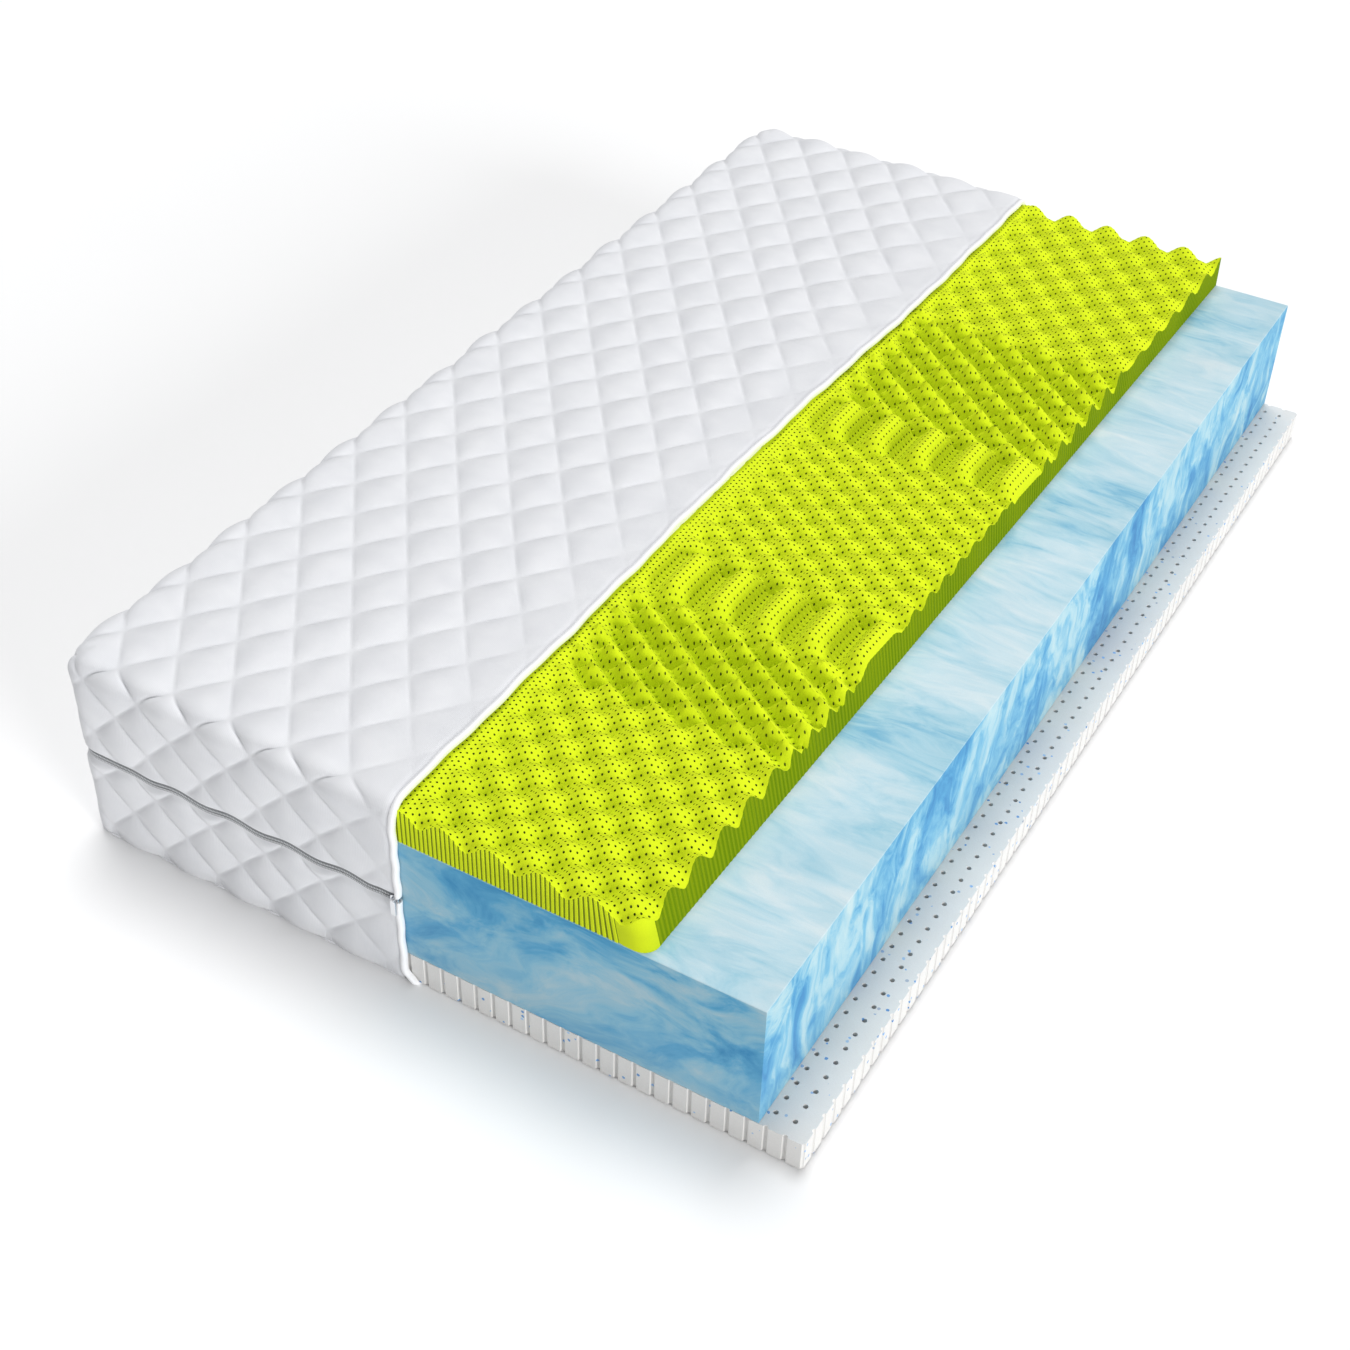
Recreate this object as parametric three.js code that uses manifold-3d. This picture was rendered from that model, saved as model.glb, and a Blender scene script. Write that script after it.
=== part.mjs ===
// Memory foam mattress shown as a stepped cut-away, in millimetres, +Z up.
// X runs across the mattress, Y from the foot end to the head end.
// The origin is on the floor below the middle of the whole object.
import * as THREE from 'three';
import { mergeVertices } from 'three/addons/utils/BufferGeometryUtils.js';
import Module from 'manifold-3d';

const wasm = await Module();
wasm.setup();

// Foam block
const FOOT_Y = -988.5;
const HEAD_Y = 991.5;
const LEFT_X = -576;
const CORNER_R = 30;
const BASE_RIGHT_X = 588;
const BASE_BOTTOM_Z = 2.3;
const BASE_TOP_Z = 51;
const CORE_RIGHT_X = 523;
const CORE_BOTTOM_Z = 51.3;
const CORE_TOP_Z = 261.7;
const COMFORT_BOTTOM_Z = 262;
const COMFORT_VALLEY_Z = 292;
const COMFORT_SADDLE_Z = 310;
const COMFORT_PEAK_Z = 322;
const COMFORT_TUCKED_Z = 305;
const COMFORT_RIGHT_FOOT_X = 367;
const COMFORT_RIGHT_HEAD_X = 386;
const COMFORT_LEAN_FOOT = 20;
const COMFORT_LEAN_HEAD = 1;
const BUMP_PITCH_X = 75.2;

// Zones of the comfort foam from foot to head: length, rows of bumps, and whether the bumps are long ridges
const ZONES = [
  { length: 307, rows: 5, ridge: false },
  { length: 243, rows: 4, ridge: false },
  { length: 150, rows: 1, ridge: true },
  { length: 352, rows: 7, ridge: false },
  { length: 142, rows: 1, ridge: true },
  { length: 309, rows: 4, ridge: false },
  { length: 477, rows: 6, ridge: false },
];

// Cover
const CUT_X = -16;
const BINDING_WIDTH = 8.3;
const PLY_END_X = -24.6;
const GAP = 0.3;
const FOAM_CLEARANCE = 0.6;
const BACKING_THICK = 1;
const WADDING_THICK = 8.6;
const TICKING_THICK = 1.2;
const TOP_INNER_Z = 322.6;
const TOP_EDGE_R = 32;
const TOP_INNER_R = 12;
const CAP_BOTTOM_Z = 169;
const BORDER_TOP_Z = 151;
const PANEL_THICK = 2;

// Zip
const ZIP_Z = 160;
const TAPE_THICK = 0.8;
const TAPE_FRONT = 6.5;
const TAPE_FROM_CENTRE = 1;
const COIL_HEIGHT = 3;
const COIL_THICK = 1.5;
const COIL_FROM_CENTRE = 1.1;
const SLIDER_X = -24;
const SLIDER_WIDTH = 13;
const SLIDER_HEIGHT = 12.6;
const POST_HEIGHT = 1.4;
const PULL_LENGTH = 26;
const PULL_WIDTH = 8;
const PULL_THICK = 1.2;
const HINGE_Z = 163.2;
const EYE_R = 1.7;
const EYE_HOLE_R = 1;
const EYE_WIDTH = 2.8;

const COLOURS = {
  base: 0xdfe0e4,
  core: 0x6fb7e0,
  comfort: 0xc9e32a,
  ticking: 0xe6e9ec,
  wadding: 0xf4f4f2,
  backing: 0xd8dadd,
  binding: 0xfafafa,
  tape: 0x8b8f95,
  coil: 0x6d7178,
  metal: 0x9a9da3,
};

function makeMesh(name, geometry, colour, roughness = 0.9, metalness = 0) {
  const material = new THREE.MeshStandardMaterial({ color: colour, roughness, metalness });
  const mesh = new THREE.Mesh(geometry, material);
  mesh.name = name;
  return mesh;
}

function toSolid(geometry) {
  const bare = geometry.index ? geometry.toNonIndexed() : geometry.clone();
  bare.deleteAttribute('normal');
  bare.deleteAttribute('uv');
  const merged = mergeVertices(bare, 1e-4);
  const vertProperties = new Float32Array(merged.attributes.position.array);
  const triVerts = new Uint32Array(merged.index.array);
  return new wasm.Manifold(new wasm.Mesh({ numProp: 3, vertProperties, triVerts }));
}

function toGeometry(solid) {
  const mesh = solid.getMesh();
  const geometry = new THREE.BufferGeometry();
  geometry.setAttribute('position', new THREE.BufferAttribute(new Float32Array(mesh.vertProperties), 3));
  geometry.setIndex(new THREE.BufferAttribute(new Uint32Array(mesh.triVerts), 1));
  const flat = geometry.toNonIndexed();
  flat.computeVertexNormals();
  return flat;
}

// A box between two corners
function boxBetween(low, high) {
  const size = high.map((v, i) => v - low[i]);
  const geometry = new THREE.BoxGeometry(...size);
  geometry.translate(...high.map((v, i) => (v + low[i]) / 2));
  return geometry;
}

// A rectangle in X and Y with round corners
function roundedOutline(x0, x1, y0, y1, leftR, rightR) {
  const shape = new THREE.Shape();
  shape.moveTo(x0 + leftR, y0);
  shape.lineTo(x1 - rightR, y0);
  if (rightR > 0) shape.absarc(x1 - rightR, y0 + rightR, rightR, -Math.PI / 2, 0, false);
  shape.lineTo(x1, y1 - rightR);
  if (rightR > 0) shape.absarc(x1 - rightR, y1 - rightR, rightR, 0, Math.PI / 2, false);
  shape.lineTo(x0 + leftR, y1);
  shape.absarc(x0 + leftR, y1 - leftR, leftR, Math.PI / 2, Math.PI, false);
  shape.lineTo(x0, y0 + leftR);
  shape.absarc(x0 + leftR, y0 + leftR, leftR, Math.PI, Math.PI * 1.5, false);
  return shape;
}

// A foam layer: a slab with round corners on the covered side
function foamSlab(rightX, z0, z1) {
  const outline = roundedOutline(LEFT_X, rightX, FOOT_Y, HEAD_Y, CORNER_R, 0);
  const geometry = new THREE.ExtrudeGeometry(outline, { depth: z1 - z0, bevelEnabled: false, curveSegments: 5 });
  geometry.translate(0, 0, z0);
  return geometry;
}

// Y of every grid line over the comfort foam, with the height class of its two kinds of columns
function comfortRows() {
  const rows = [];
  let y = FOOT_Y;
  for (const zone of ZONES) {
    const halfRow = zone.length / zone.rows / 2;
    if (zone.ridge) {
      rows.push({ y, even: COMFORT_SADDLE_Z, odd: COMFORT_VALLEY_Z });
      rows.push({ y: y + 18, even: COMFORT_PEAK_Z, odd: COMFORT_VALLEY_Z });
      rows.push({ y: y + zone.length - 18, even: COMFORT_PEAK_Z, odd: COMFORT_VALLEY_Z });
    } else {
      for (let i = 0; i < zone.rows; i += 1) {
        rows.push({ y: y + 2 * i * halfRow, even: COMFORT_SADDLE_Z, odd: COMFORT_VALLEY_Z });
        rows.push({ y: y + (2 * i + 1) * halfRow, even: COMFORT_PEAK_Z, odd: COMFORT_SADDLE_Z });
      }
    }
    y += zone.length;
  }
  rows.push({ y: HEAD_Y, even: COMFORT_SADDLE_Z, odd: COMFORT_VALLEY_Z });
  return rows;
}

// The comfort foam: a closed slab whose top is a grid of bumps; the right face leans in a little at the foot
function comfortFoamGeometry() {
  const rows = comfortRows();
  const half = BUMP_PITCH_X / 2;
  const columns = Math.floor((COMFORT_RIGHT_FOOT_X - LEFT_X) / half);
  const top = [];
  const bottom = [];
  for (let r = 0; r < rows.length; r += 1) {
    const row = rows[r];
    const share = (row.y - FOOT_Y) / (HEAD_Y - FOOT_Y);
    const rightBottom = THREE.MathUtils.lerp(COMFORT_RIGHT_FOOT_X, COMFORT_RIGHT_HEAD_X, share);
    const rightTop = rightBottom - THREE.MathUtils.lerp(COMFORT_LEAN_FOOT, COMFORT_LEAN_HEAD, share);
    const endRow = r === 0 || r === rows.length - 1;
    const topLine = [];
    const bottomLine = [];
    for (let c = 0; c <= columns; c += 1) {
      const edge = c === 0 || c === columns;
      const inX = c === 0 ? LEFT_X : rightTop - (columns - c) * ((rightTop - LEFT_X) / columns);
      const outX = c === 0 ? LEFT_X : rightBottom - (columns - c) * ((rightBottom - LEFT_X) / columns);
      let z = c % 2 === 0 ? row.even : row.odd;
      const covered = inX < CUT_X + 30;
      if (covered && (endRow || c === 0)) z = Math.min(z, COMFORT_TUCKED_Z);
      topLine.push([inX, row.y, z]);
      bottomLine.push(edge || endRow ? [outX, row.y, COMFORT_BOTTOM_Z] : null);
    }
    top.push(topLine);
    bottom.push(bottomLine);
  }
  const positions = [];
  const triangle = (a, b, c) => positions.push(...a, ...b, ...c);
  const quad = (a, b, c, d) => {
    triangle(a, b, c);
    triangle(a, c, d);
  };
  const last = rows.length - 1;
  for (let r = 0; r < last; r += 1) {
    for (let c = 0; c < columns; c += 1) {
      if ((r + c) % 2 === 0) {
        quad(top[r][c], top[r][c + 1], top[r + 1][c + 1], top[r + 1][c]);
      } else {
        quad(top[r][c + 1], top[r + 1][c + 1], top[r + 1][c], top[r][c]);
      }
    }
    quad(bottom[r][0], top[r][0], top[r + 1][0], bottom[r + 1][0]);
    quad(top[r][columns], bottom[r][columns], bottom[r + 1][columns], top[r + 1][columns]);
  }
  for (let c = 0; c < columns; c += 1) {
    quad(bottom[0][c], bottom[0][c + 1], top[0][c + 1], top[0][c]);
    quad(top[last][c], top[last][c + 1], bottom[last][c + 1], bottom[last][c]);
  }
  const centre = [(LEFT_X + COMFORT_RIGHT_FOOT_X) / 2, 0, COMFORT_BOTTOM_Z];
  for (let r = 0; r < last; r += 1) {
    triangle(centre, bottom[r][0], bottom[r + 1][0]);
    triangle(centre, bottom[r + 1][columns], bottom[r][columns]);
  }
  for (let c = 0; c < columns; c += 1) {
    triangle(centre, bottom[0][c + 1], bottom[0][c]);
    triangle(centre, bottom[last][c], bottom[last][c + 1]);
  }
  const geometry = new THREE.BufferGeometry();
  geometry.setAttribute('position', new THREE.BufferAttribute(new Float32Array(positions), 3));
  const outline = roundedOutline(LEFT_X, BASE_RIGHT_X, FOOT_Y, HEAD_Y, CORNER_R, 0);
  const trim = new THREE.ExtrudeGeometry(outline, { depth: 80, bevelEnabled: false, curveSegments: 5 });
  trim.translate(0, 0, COMFORT_BOTTOM_Z - 5);
  return toGeometry(toSolid(geometry).intersect(toSolid(trim)));
}

// The full closed shape whose surface lies a given way out from the foam, with a round top edge
function coverBody(out, topOut, edgeR) {
  const r = CORNER_R + out;
  const outline = roundedOutline(LEFT_X - out, 300, FOOT_Y - out, HEAD_Y + out, r, 0);
  const depth = 300 - 2 * edgeR;
  const geometry = new THREE.ExtrudeGeometry(outline, {
    depth,
    bevelEnabled: true,
    bevelThickness: edgeR,
    bevelSize: edgeR,
    bevelOffset: -edgeR,
    bevelSegments: 4,
    curveSegments: 5,
  });
  geometry.translate(0, 0, TOP_INNER_Z + topOut - edgeR - depth);
  return toSolid(geometry);
}

function prismBody(out, z0, z1) {
  const outline = roundedOutline(LEFT_X - out, 300, FOOT_Y - out, HEAD_Y + out, CORNER_R + out, 0);
  const geometry = new THREE.ExtrudeGeometry(outline, { depth: z1 - z0, bevelEnabled: false, curveSegments: 5 });
  geometry.translate(0, 0, z0);
  return toSolid(geometry);
}

function keepBox(x0, x1, z0, z1) {
  return toSolid(boxBetween([x0, -1200, z0], [x1, 1200, z1]));
}

const BACKING_IN = FOAM_CLEARANCE;
const BACKING_OUT = BACKING_IN + BACKING_THICK;
const WADDING_IN = BACKING_OUT + GAP;
const WADDING_OUT = WADDING_IN + WADDING_THICK;
const TICKING_IN = WADDING_OUT + GAP;
const TICKING_OUT = TICKING_IN + TICKING_THICK;

// One ply of the upper half: a cap over the foam, open below and at the cut
function capPly(inner, outer, innerR, outerR) {
  const shell = coverBody(outer, outer - FOAM_CLEARANCE, outerR)
    .subtract(coverBody(inner, inner - FOAM_CLEARANCE, innerR));
  return shell.intersect(keepBox(-700, PLY_END_X, CAP_BOTTOM_Z, 400));
}

// One ply of the border below the zip: a wall on three sides
function borderPly(inner, outer, z0) {
  const wall = prismBody(outer, z0, BORDER_TOP_Z).subtract(prismBody(inner, z0 - 5, BORDER_TOP_Z + 5));
  return wall.intersect(keepBox(-700, PLY_END_X, -10, 400));
}

function coverTop(group) {
  const ticking = capPly(TICKING_IN, TICKING_OUT, TOP_EDGE_R - TICKING_THICK, TOP_EDGE_R);
  const wadding = capPly(WADDING_IN, WADDING_OUT, TOP_INNER_R + BACKING_THICK + GAP, TOP_EDGE_R - TICKING_THICK - GAP);
  const backing = capPly(BACKING_IN, BACKING_OUT, TOP_INNER_R, TOP_INNER_R + BACKING_THICK);
  group.add(makeMesh('cover_top_ticking', toGeometry(ticking), COLOURS.ticking));
  group.add(makeMesh('cover_top_wadding', toGeometry(wadding), COLOURS.wadding));
  group.add(makeMesh('cover_top_backing', toGeometry(backing), COLOURS.backing));
  const binding = coverBody(TICKING_OUT, TICKING_OUT - FOAM_CLEARANCE, TOP_EDGE_R)
    .subtract(coverBody(BACKING_IN, 0, TOP_INNER_R))
    .intersect(keepBox(CUT_X - BINDING_WIDTH, CUT_X, CAP_BOTTOM_Z, 400));
  group.add(makeMesh('cover_top_binding', toGeometry(binding), COLOURS.binding));
}

function coverBottom(group) {
  const inset = PANEL_THICK + GAP;
  group.add(makeMesh('cover_bottom_ticking', toGeometry(borderPly(TICKING_IN, TICKING_OUT, 0)), COLOURS.ticking));
  group.add(makeMesh('cover_bottom_wadding', toGeometry(borderPly(WADDING_IN, WADDING_OUT, inset)), COLOURS.wadding));
  group.add(makeMesh('cover_bottom_backing', toGeometry(borderPly(BACKING_IN, BACKING_OUT, inset)), COLOURS.backing));
  const panel = prismBody(TICKING_IN - GAP, 0, PANEL_THICK).intersect(keepBox(-700, PLY_END_X, -10, 10));
  group.add(makeMesh('cover_bottom_panel', toGeometry(panel), COLOURS.ticking));
  const binding = prismBody(TICKING_OUT, 0, BORDER_TOP_Z)
    .subtract(prismBody(BACKING_IN, PANEL_THICK, BORDER_TOP_Z + 5))
    .intersect(keepBox(CUT_X - BINDING_WIDTH, CUT_X, -10, 400));
  group.add(makeMesh('cover_bottom_binding', toGeometry(binding), COLOURS.binding));
}

// A flat strip that follows the foam round three sides, between two distances out from it
function zipStrip(inner, outer, z0, z1) {
  const strip = prismBody(outer, z0, z1).subtract(prismBody(inner, z0 - 5, z1 + 5));
  return toGeometry(strip.intersect(keepBox(-700, CUT_X, -10, 400)));
}

function zipTapes(group) {
  const back = TAPE_FRONT - TAPE_THICK;
  const upper = zipStrip(back, TAPE_FRONT, ZIP_Z + TAPE_FROM_CENTRE, CAP_BOTTOM_Z - GAP);
  const lower = zipStrip(back, TAPE_FRONT, BORDER_TOP_Z + GAP, ZIP_Z - TAPE_FROM_CENTRE);
  group.upper.add(makeMesh('zip_tape_upper', upper, COLOURS.tape));
  group.lower.add(makeMesh('zip_tape_lower', lower, COLOURS.tape));
}

function zipCoils(group) {
  const front = TAPE_FRONT + GAP + COIL_THICK;
  const upperZ = ZIP_Z + COIL_FROM_CENTRE;
  const lowerZ = ZIP_Z - COIL_FROM_CENTRE - COIL_HEIGHT;
  const upper = zipStrip(TAPE_FRONT + GAP, front, upperZ, upperZ + COIL_HEIGHT);
  const lower = zipStrip(TAPE_FRONT + GAP, front, lowerZ, lowerZ + COIL_HEIGHT);
  group.upper.add(makeMesh('zip_coil_upper', upper, COLOURS.coil, 0.5));
  group.lower.add(makeMesh('zip_coil_lower', lower, COLOURS.coil, 0.5));
}

// The slider: two plates either side of the teeth, a post between them and a bridge for the pull tab
function zipSliderGeometry() {
  const coilFront = FOOT_Y - (TAPE_FRONT + GAP + COIL_THICK);
  const tapeBack = FOOT_Y - (TAPE_FRONT - TAPE_THICK);
  const x0 = SLIDER_X - SLIDER_WIDTH / 2;
  const x1 = SLIDER_X + SLIDER_WIDTH / 2;
  const z0 = ZIP_Z - SLIDER_HEIGHT / 2;
  const z1 = ZIP_Z + SLIDER_HEIGHT / 2;
  const outline = roundedOutline(x0, x1, z0, z1, 3, 3);
  const plate = (y0, y1) => {
    const geometry = new THREE.ExtrudeGeometry(outline, { depth: y1 - y0, bevelEnabled: false, curveSegments: 3 });
    geometry.rotateX(Math.PI / 2);
    geometry.translate(0, y1, 0);
    return toSolid(geometry);
  };
  const frontY = coilFront - 0.5;
  const front = plate(frontY - 1.4, frontY);
  const back = plate(tapeBack + 0.5, tapeBack + 1.7);
  const post = toSolid(boxBetween(
    [x1 - 3.2, frontY - 0.5, ZIP_Z - POST_HEIGHT / 2],
    [x1 - 0.6, tapeBack + 1, ZIP_Z + POST_HEIGHT / 2],
  ));
  const hingeY = pullHingeY();
  const pin = new THREE.CylinderGeometry(0.7, 0.7, 5.4, 12);
  pin.rotateZ(Math.PI / 2);
  pin.translate(SLIDER_X, hingeY, HINGE_Z);
  const ear = (x) => toSolid(boxBetween([x - 0.6, hingeY - 1, HINGE_Z - 1.1], [x + 0.6, frontY - 0.9, HINGE_Z + 1.1]));
  return toGeometry(front.add(back).add(post).add(toSolid(pin)).add(ear(SLIDER_X - 2.5)).add(ear(SLIDER_X + 2.5)));
}

function pullHingeY() {
  return FOOT_Y - TICKING_OUT - 1.9;
}

// The pull tab hangs from the pin: an eye round the pin, a short neck and a flat tab below
function zipPullGeometry() {
  const hingeY = pullHingeY();
  const eye = new THREE.CylinderGeometry(EYE_R, EYE_R, EYE_WIDTH, 16);
  eye.rotateZ(Math.PI / 2);
  eye.translate(SLIDER_X, hingeY, HINGE_Z);
  const hole = new THREE.CylinderGeometry(EYE_HOLE_R, EYE_HOLE_R, EYE_WIDTH + 4, 16);
  hole.rotateZ(Math.PI / 2);
  hole.translate(SLIDER_X, hingeY, HINGE_Z);
  const neck = boxBetween(
    [SLIDER_X - EYE_WIDTH / 2, hingeY - PULL_THICK / 2, HINGE_Z - 4],
    [SLIDER_X + EYE_WIDTH / 2, hingeY + PULL_THICK / 2, HINGE_Z - 1.2],
  );
  const top = HINGE_Z - 3;
  const halfWidth = PULL_WIDTH / 2;
  const outline = roundedOutline(SLIDER_X - halfWidth, SLIDER_X + halfWidth, top - PULL_LENGTH, top, 2, 2);
  const tab = new THREE.ExtrudeGeometry(outline, { depth: PULL_THICK, bevelEnabled: false, curveSegments: 3 });
  tab.rotateX(Math.PI / 2);
  tab.translate(0, hingeY + PULL_THICK / 2, 0);
  return toGeometry(toSolid(eye).add(toSolid(neck)).add(toSolid(tab)).subtract(toSolid(hole)));
}

function build() {
  const mattress = new THREE.Group();
  mattress.name = 'mattress';
  const foam = new THREE.Group();
  foam.add(makeMesh('base_foam', foamSlab(BASE_RIGHT_X, BASE_BOTTOM_Z, BASE_TOP_Z), COLOURS.base));
  foam.add(makeMesh('core_foam', foamSlab(CORE_RIGHT_X, CORE_BOTTOM_Z, CORE_TOP_Z), COLOURS.core));
  foam.add(makeMesh('comfort_foam', comfortFoamGeometry(), COLOURS.comfort));
  const upper = new THREE.Group();
  const lower = new THREE.Group();
  coverTop(upper);
  coverBottom(lower);
  zipTapes({ upper, lower });
  zipCoils({ upper, lower });
  const hardware = new THREE.Group();
  hardware.add(makeMesh('zip_slider', zipSliderGeometry(), COLOURS.metal, 0.35, 0.9));
  hardware.add(makeMesh('zip_pull', zipPullGeometry(), COLOURS.metal, 0.35, 0.9));
  mattress.add(foam, upper, lower, hardware);
  return mattress;
}

export default build();
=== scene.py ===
import math

import bpy
import numpy as np
from mathutils import Matrix, Vector


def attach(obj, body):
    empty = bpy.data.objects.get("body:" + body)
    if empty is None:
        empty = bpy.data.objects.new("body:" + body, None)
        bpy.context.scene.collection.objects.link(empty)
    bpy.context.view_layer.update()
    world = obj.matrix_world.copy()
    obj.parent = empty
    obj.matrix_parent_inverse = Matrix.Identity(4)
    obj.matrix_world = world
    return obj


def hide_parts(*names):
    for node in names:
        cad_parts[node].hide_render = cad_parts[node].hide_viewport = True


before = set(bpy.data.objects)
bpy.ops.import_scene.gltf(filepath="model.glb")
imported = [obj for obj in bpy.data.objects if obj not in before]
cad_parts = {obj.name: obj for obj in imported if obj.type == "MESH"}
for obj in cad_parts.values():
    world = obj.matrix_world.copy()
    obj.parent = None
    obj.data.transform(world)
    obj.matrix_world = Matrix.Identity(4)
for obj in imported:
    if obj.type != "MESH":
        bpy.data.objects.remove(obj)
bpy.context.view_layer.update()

# ---------------------------------------------------------------------------------------------
# Base foam. A 5 cm slab of firm white foam with blue flecks from reground offcuts. Straight holes
# run right through it on a square grid, and the slab was sawn along two rows of them, so its foot
# and right faces are fluted. It carries the other layers and is held by the lower cover.
# ---------------------------------------------------------------------------------------------
FOOT, HEAD, LEFT = -0.9885, 0.9915, -0.576
BLOCK_CORNER = 0.030
BASE_RIGHT, BASE_LOW, BASE_HIGH = 0.588, 0.0023, 0.051
HOLE_PITCH, HOLE_RADIUS = 0.0275, 0.0036
HOLE_COLUMNS, HOLE_ROWS = 22, 72
# Holes this near to the right face, or in a sawn row, are in plain sight and get rounder
SEEN_COLUMNS, SEEN_TURNS, HIDDEN_TURNS = 4, 4, 2
CORNER_SEGMENTS = 8
SAME_SPOT_DIGITS = 6


def weld(points, faces):
    """Joins points that coincide, and drops the corners that this makes double."""
    points = np.asarray(points, float)
    rounded = np.round(points, SAME_SPOT_DIGITS)
    _, first, new = np.unique(rounded, axis=0, return_index=True, return_inverse=True)
    new = new.ravel().tolist()
    clean = []
    for face in faces:
        ring = [new[k] for k in face]
        ring = [k for n, k in enumerate(ring) if k != ring[n - 1]]
        if len(set(ring)) > 2:
            clean.append(ring)
    return points[first], clean


def quarter_turn(cx, cy, radius, start):
    """Points round a quarter circle, anticlockwise from an angle in degrees."""
    turns = [math.radians(start + 90 * k / CORNER_SEGMENTS) for k in range(CORNER_SEGMENTS + 1)]
    return [(cx + radius * math.cos(turn), cy + radius * math.sin(turn)) for turn in turns]


def make_piece(name, points, faces, materials, face_materials=None, sharp=35):
    """A new mesh object with smooth shading that breaks at edges sharper than a given angle."""
    mesh = bpy.data.meshes.new(name)
    mesh.from_pydata(np.asarray(points).tolist(), [], [list(f) for f in faces])
    for material in materials:
        mesh.materials.append(material)
    if face_materials is not None:
        mesh.polygons.foreach_set("material_index", np.asarray(face_materials, np.int32))
    mesh.polygons.foreach_set("use_smooth", np.ones(len(mesh.polygons), bool))
    mesh.validate()
    mesh.update()
    mesh.set_sharp_from_angle(angle=math.radians(sharp))
    piece = bpy.data.objects.new(name, mesh)
    bpy.context.scene.collection.objects.link(piece)
    return piece


def put(tree, kind, inputs=(), **settings):
    """Adds a node. inputs maps a socket's name or number to a value or to another node's output."""
    made = tree.nodes.new("ShaderNode" + kind)
    for key, value in settings.items():
        setattr(made, key, value)
    for key, value in dict(inputs).items():
        if isinstance(value, bpy.types.NodeSocket):
            tree.links.new(value, made.inputs[key])
        else:
            made.inputs[key].default_value = value
    return made


def reckon(tree, operation, *values):
    """The result of a Math node."""
    return put(tree, "Math", dict(enumerate(values)), operation=operation).outputs[0]


def blend_colours(tree, share, one, other, how="MIX"):
    """The result of a Mix Color node: share 0 gives one, share 1 gives other."""
    sockets = {0: share, 6: one, 7: other}
    return put(tree, "Mix", sockets, data_type="RGBA", blend_type=how).outputs[2]


def ramp(tree, share, *stops):
    """The colour of a ramp with the given (place, colour) stops."""
    made = put(tree, "ValToRGB", {0: share})
    band = made.color_ramp
    while len(band.elements) < len(stops):
        band.elements.new(0.5)
    for element, (place, colour) in zip(band.elements, stops):
        element.position = place
        element.color = colour if hasattr(colour, "__len__") else (colour, colour, colour, 1)
    return made.outputs[0]


def new_group(name, inputs, outputs):
    """An empty shader group, with what its input node gives and its output node takes."""
    group = bpy.data.node_groups.new(name, "ShaderNodeTree")
    for label, kind, value in inputs:
        socket = group.interface.new_socket(name=label, in_out="INPUT", socket_type=kind)
        if value is not None:
            socket.default_value = value
    for label, kind in outputs:
        group.interface.new_socket(name=label, in_out="OUTPUT", socket_type=kind)
    return group, group.nodes.new("NodeGroupInput").outputs, group.nodes.new("NodeGroupOutput").inputs


def use_group(tree, group, inputs):
    """Places a group in a material and gives its outputs."""
    return put(tree, "Group", inputs, node_tree=group).outputs


def new_material(name, **sockets):
    """A material with the given shader values. Gives its tree, its shader and the place on the piece too."""
    material = bpy.data.materials.new(name)
    material.use_nodes = True
    tree = material.node_tree
    shader = tree.nodes["Principled BSDF"]
    for label, value in sockets.items():
        shader.inputs[label.replace("_", " ")].default_value = value
    place = put(tree, "TexCoord").outputs["Object"]
    return material, tree, shader, place


def finish_surface(tree, shader, colour, height, strength, distance):
    """Gives the shader its colour, and a fine relief through a Bump node."""
    tree.links.new(colour, shader.inputs["Base Color"])
    bump = put(tree, "Bump", {"Height": height, "Strength": strength, "Distance": distance})
    tree.links.new(bump.outputs[0], shader.inputs["Normal"])


VECTOR, NUMBER = "NodeSocketVector", "NodeSocketFloat"

# Open foam cells: small pits of mixed sizes, with a little light and dark from cell to cell
foam_cells, given, result = new_group(
    "Foam_cells", [("Place", VECTOR, None), ("Cells per metre", NUMBER, 500.0)],
    [("Height", NUMBER), ("Shade", NUMBER)])
cells = put(foam_cells, "TexVoronoi", {"Vector": given[0], "Scale": given[1], "Randomness": 1.0})
grain = put(foam_cells, "TexNoise", {"Vector": given[0], "Scale": given[1], "Detail": 3.0})
pits = reckon(foam_cells, "MULTIPLY", cells.outputs["Distance"], 0.6)
height = reckon(foam_cells, "MULTIPLY_ADD", grain.outputs[0], 0.6, pits)
foam_cells.links.new(height, result[0])
broad = put(foam_cells, "TexNoise", {"Vector": given[0], "Scale": 9.0, "Detail": 4.0})
fine_shade = reckon(foam_cells, "MULTIPLY", grain.outputs[0], 0.5)
foam_cells.links.new(reckon(foam_cells, "MULTIPLY_ADD", broad.outputs[0], 0.5, fine_shade), result[1])

base_foam_finish, tree, shader, place = new_material("Base_foam", Roughness=0.92, Sheen_Weight=0.08)
texture = use_group(tree, foam_cells, {"Place": place, "Cells per metre": 650.0})
white = blend_colours(tree, texture[1], (0.66, 0.65, 0.635, 1), (0.84, 0.83, 0.81, 1))
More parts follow.
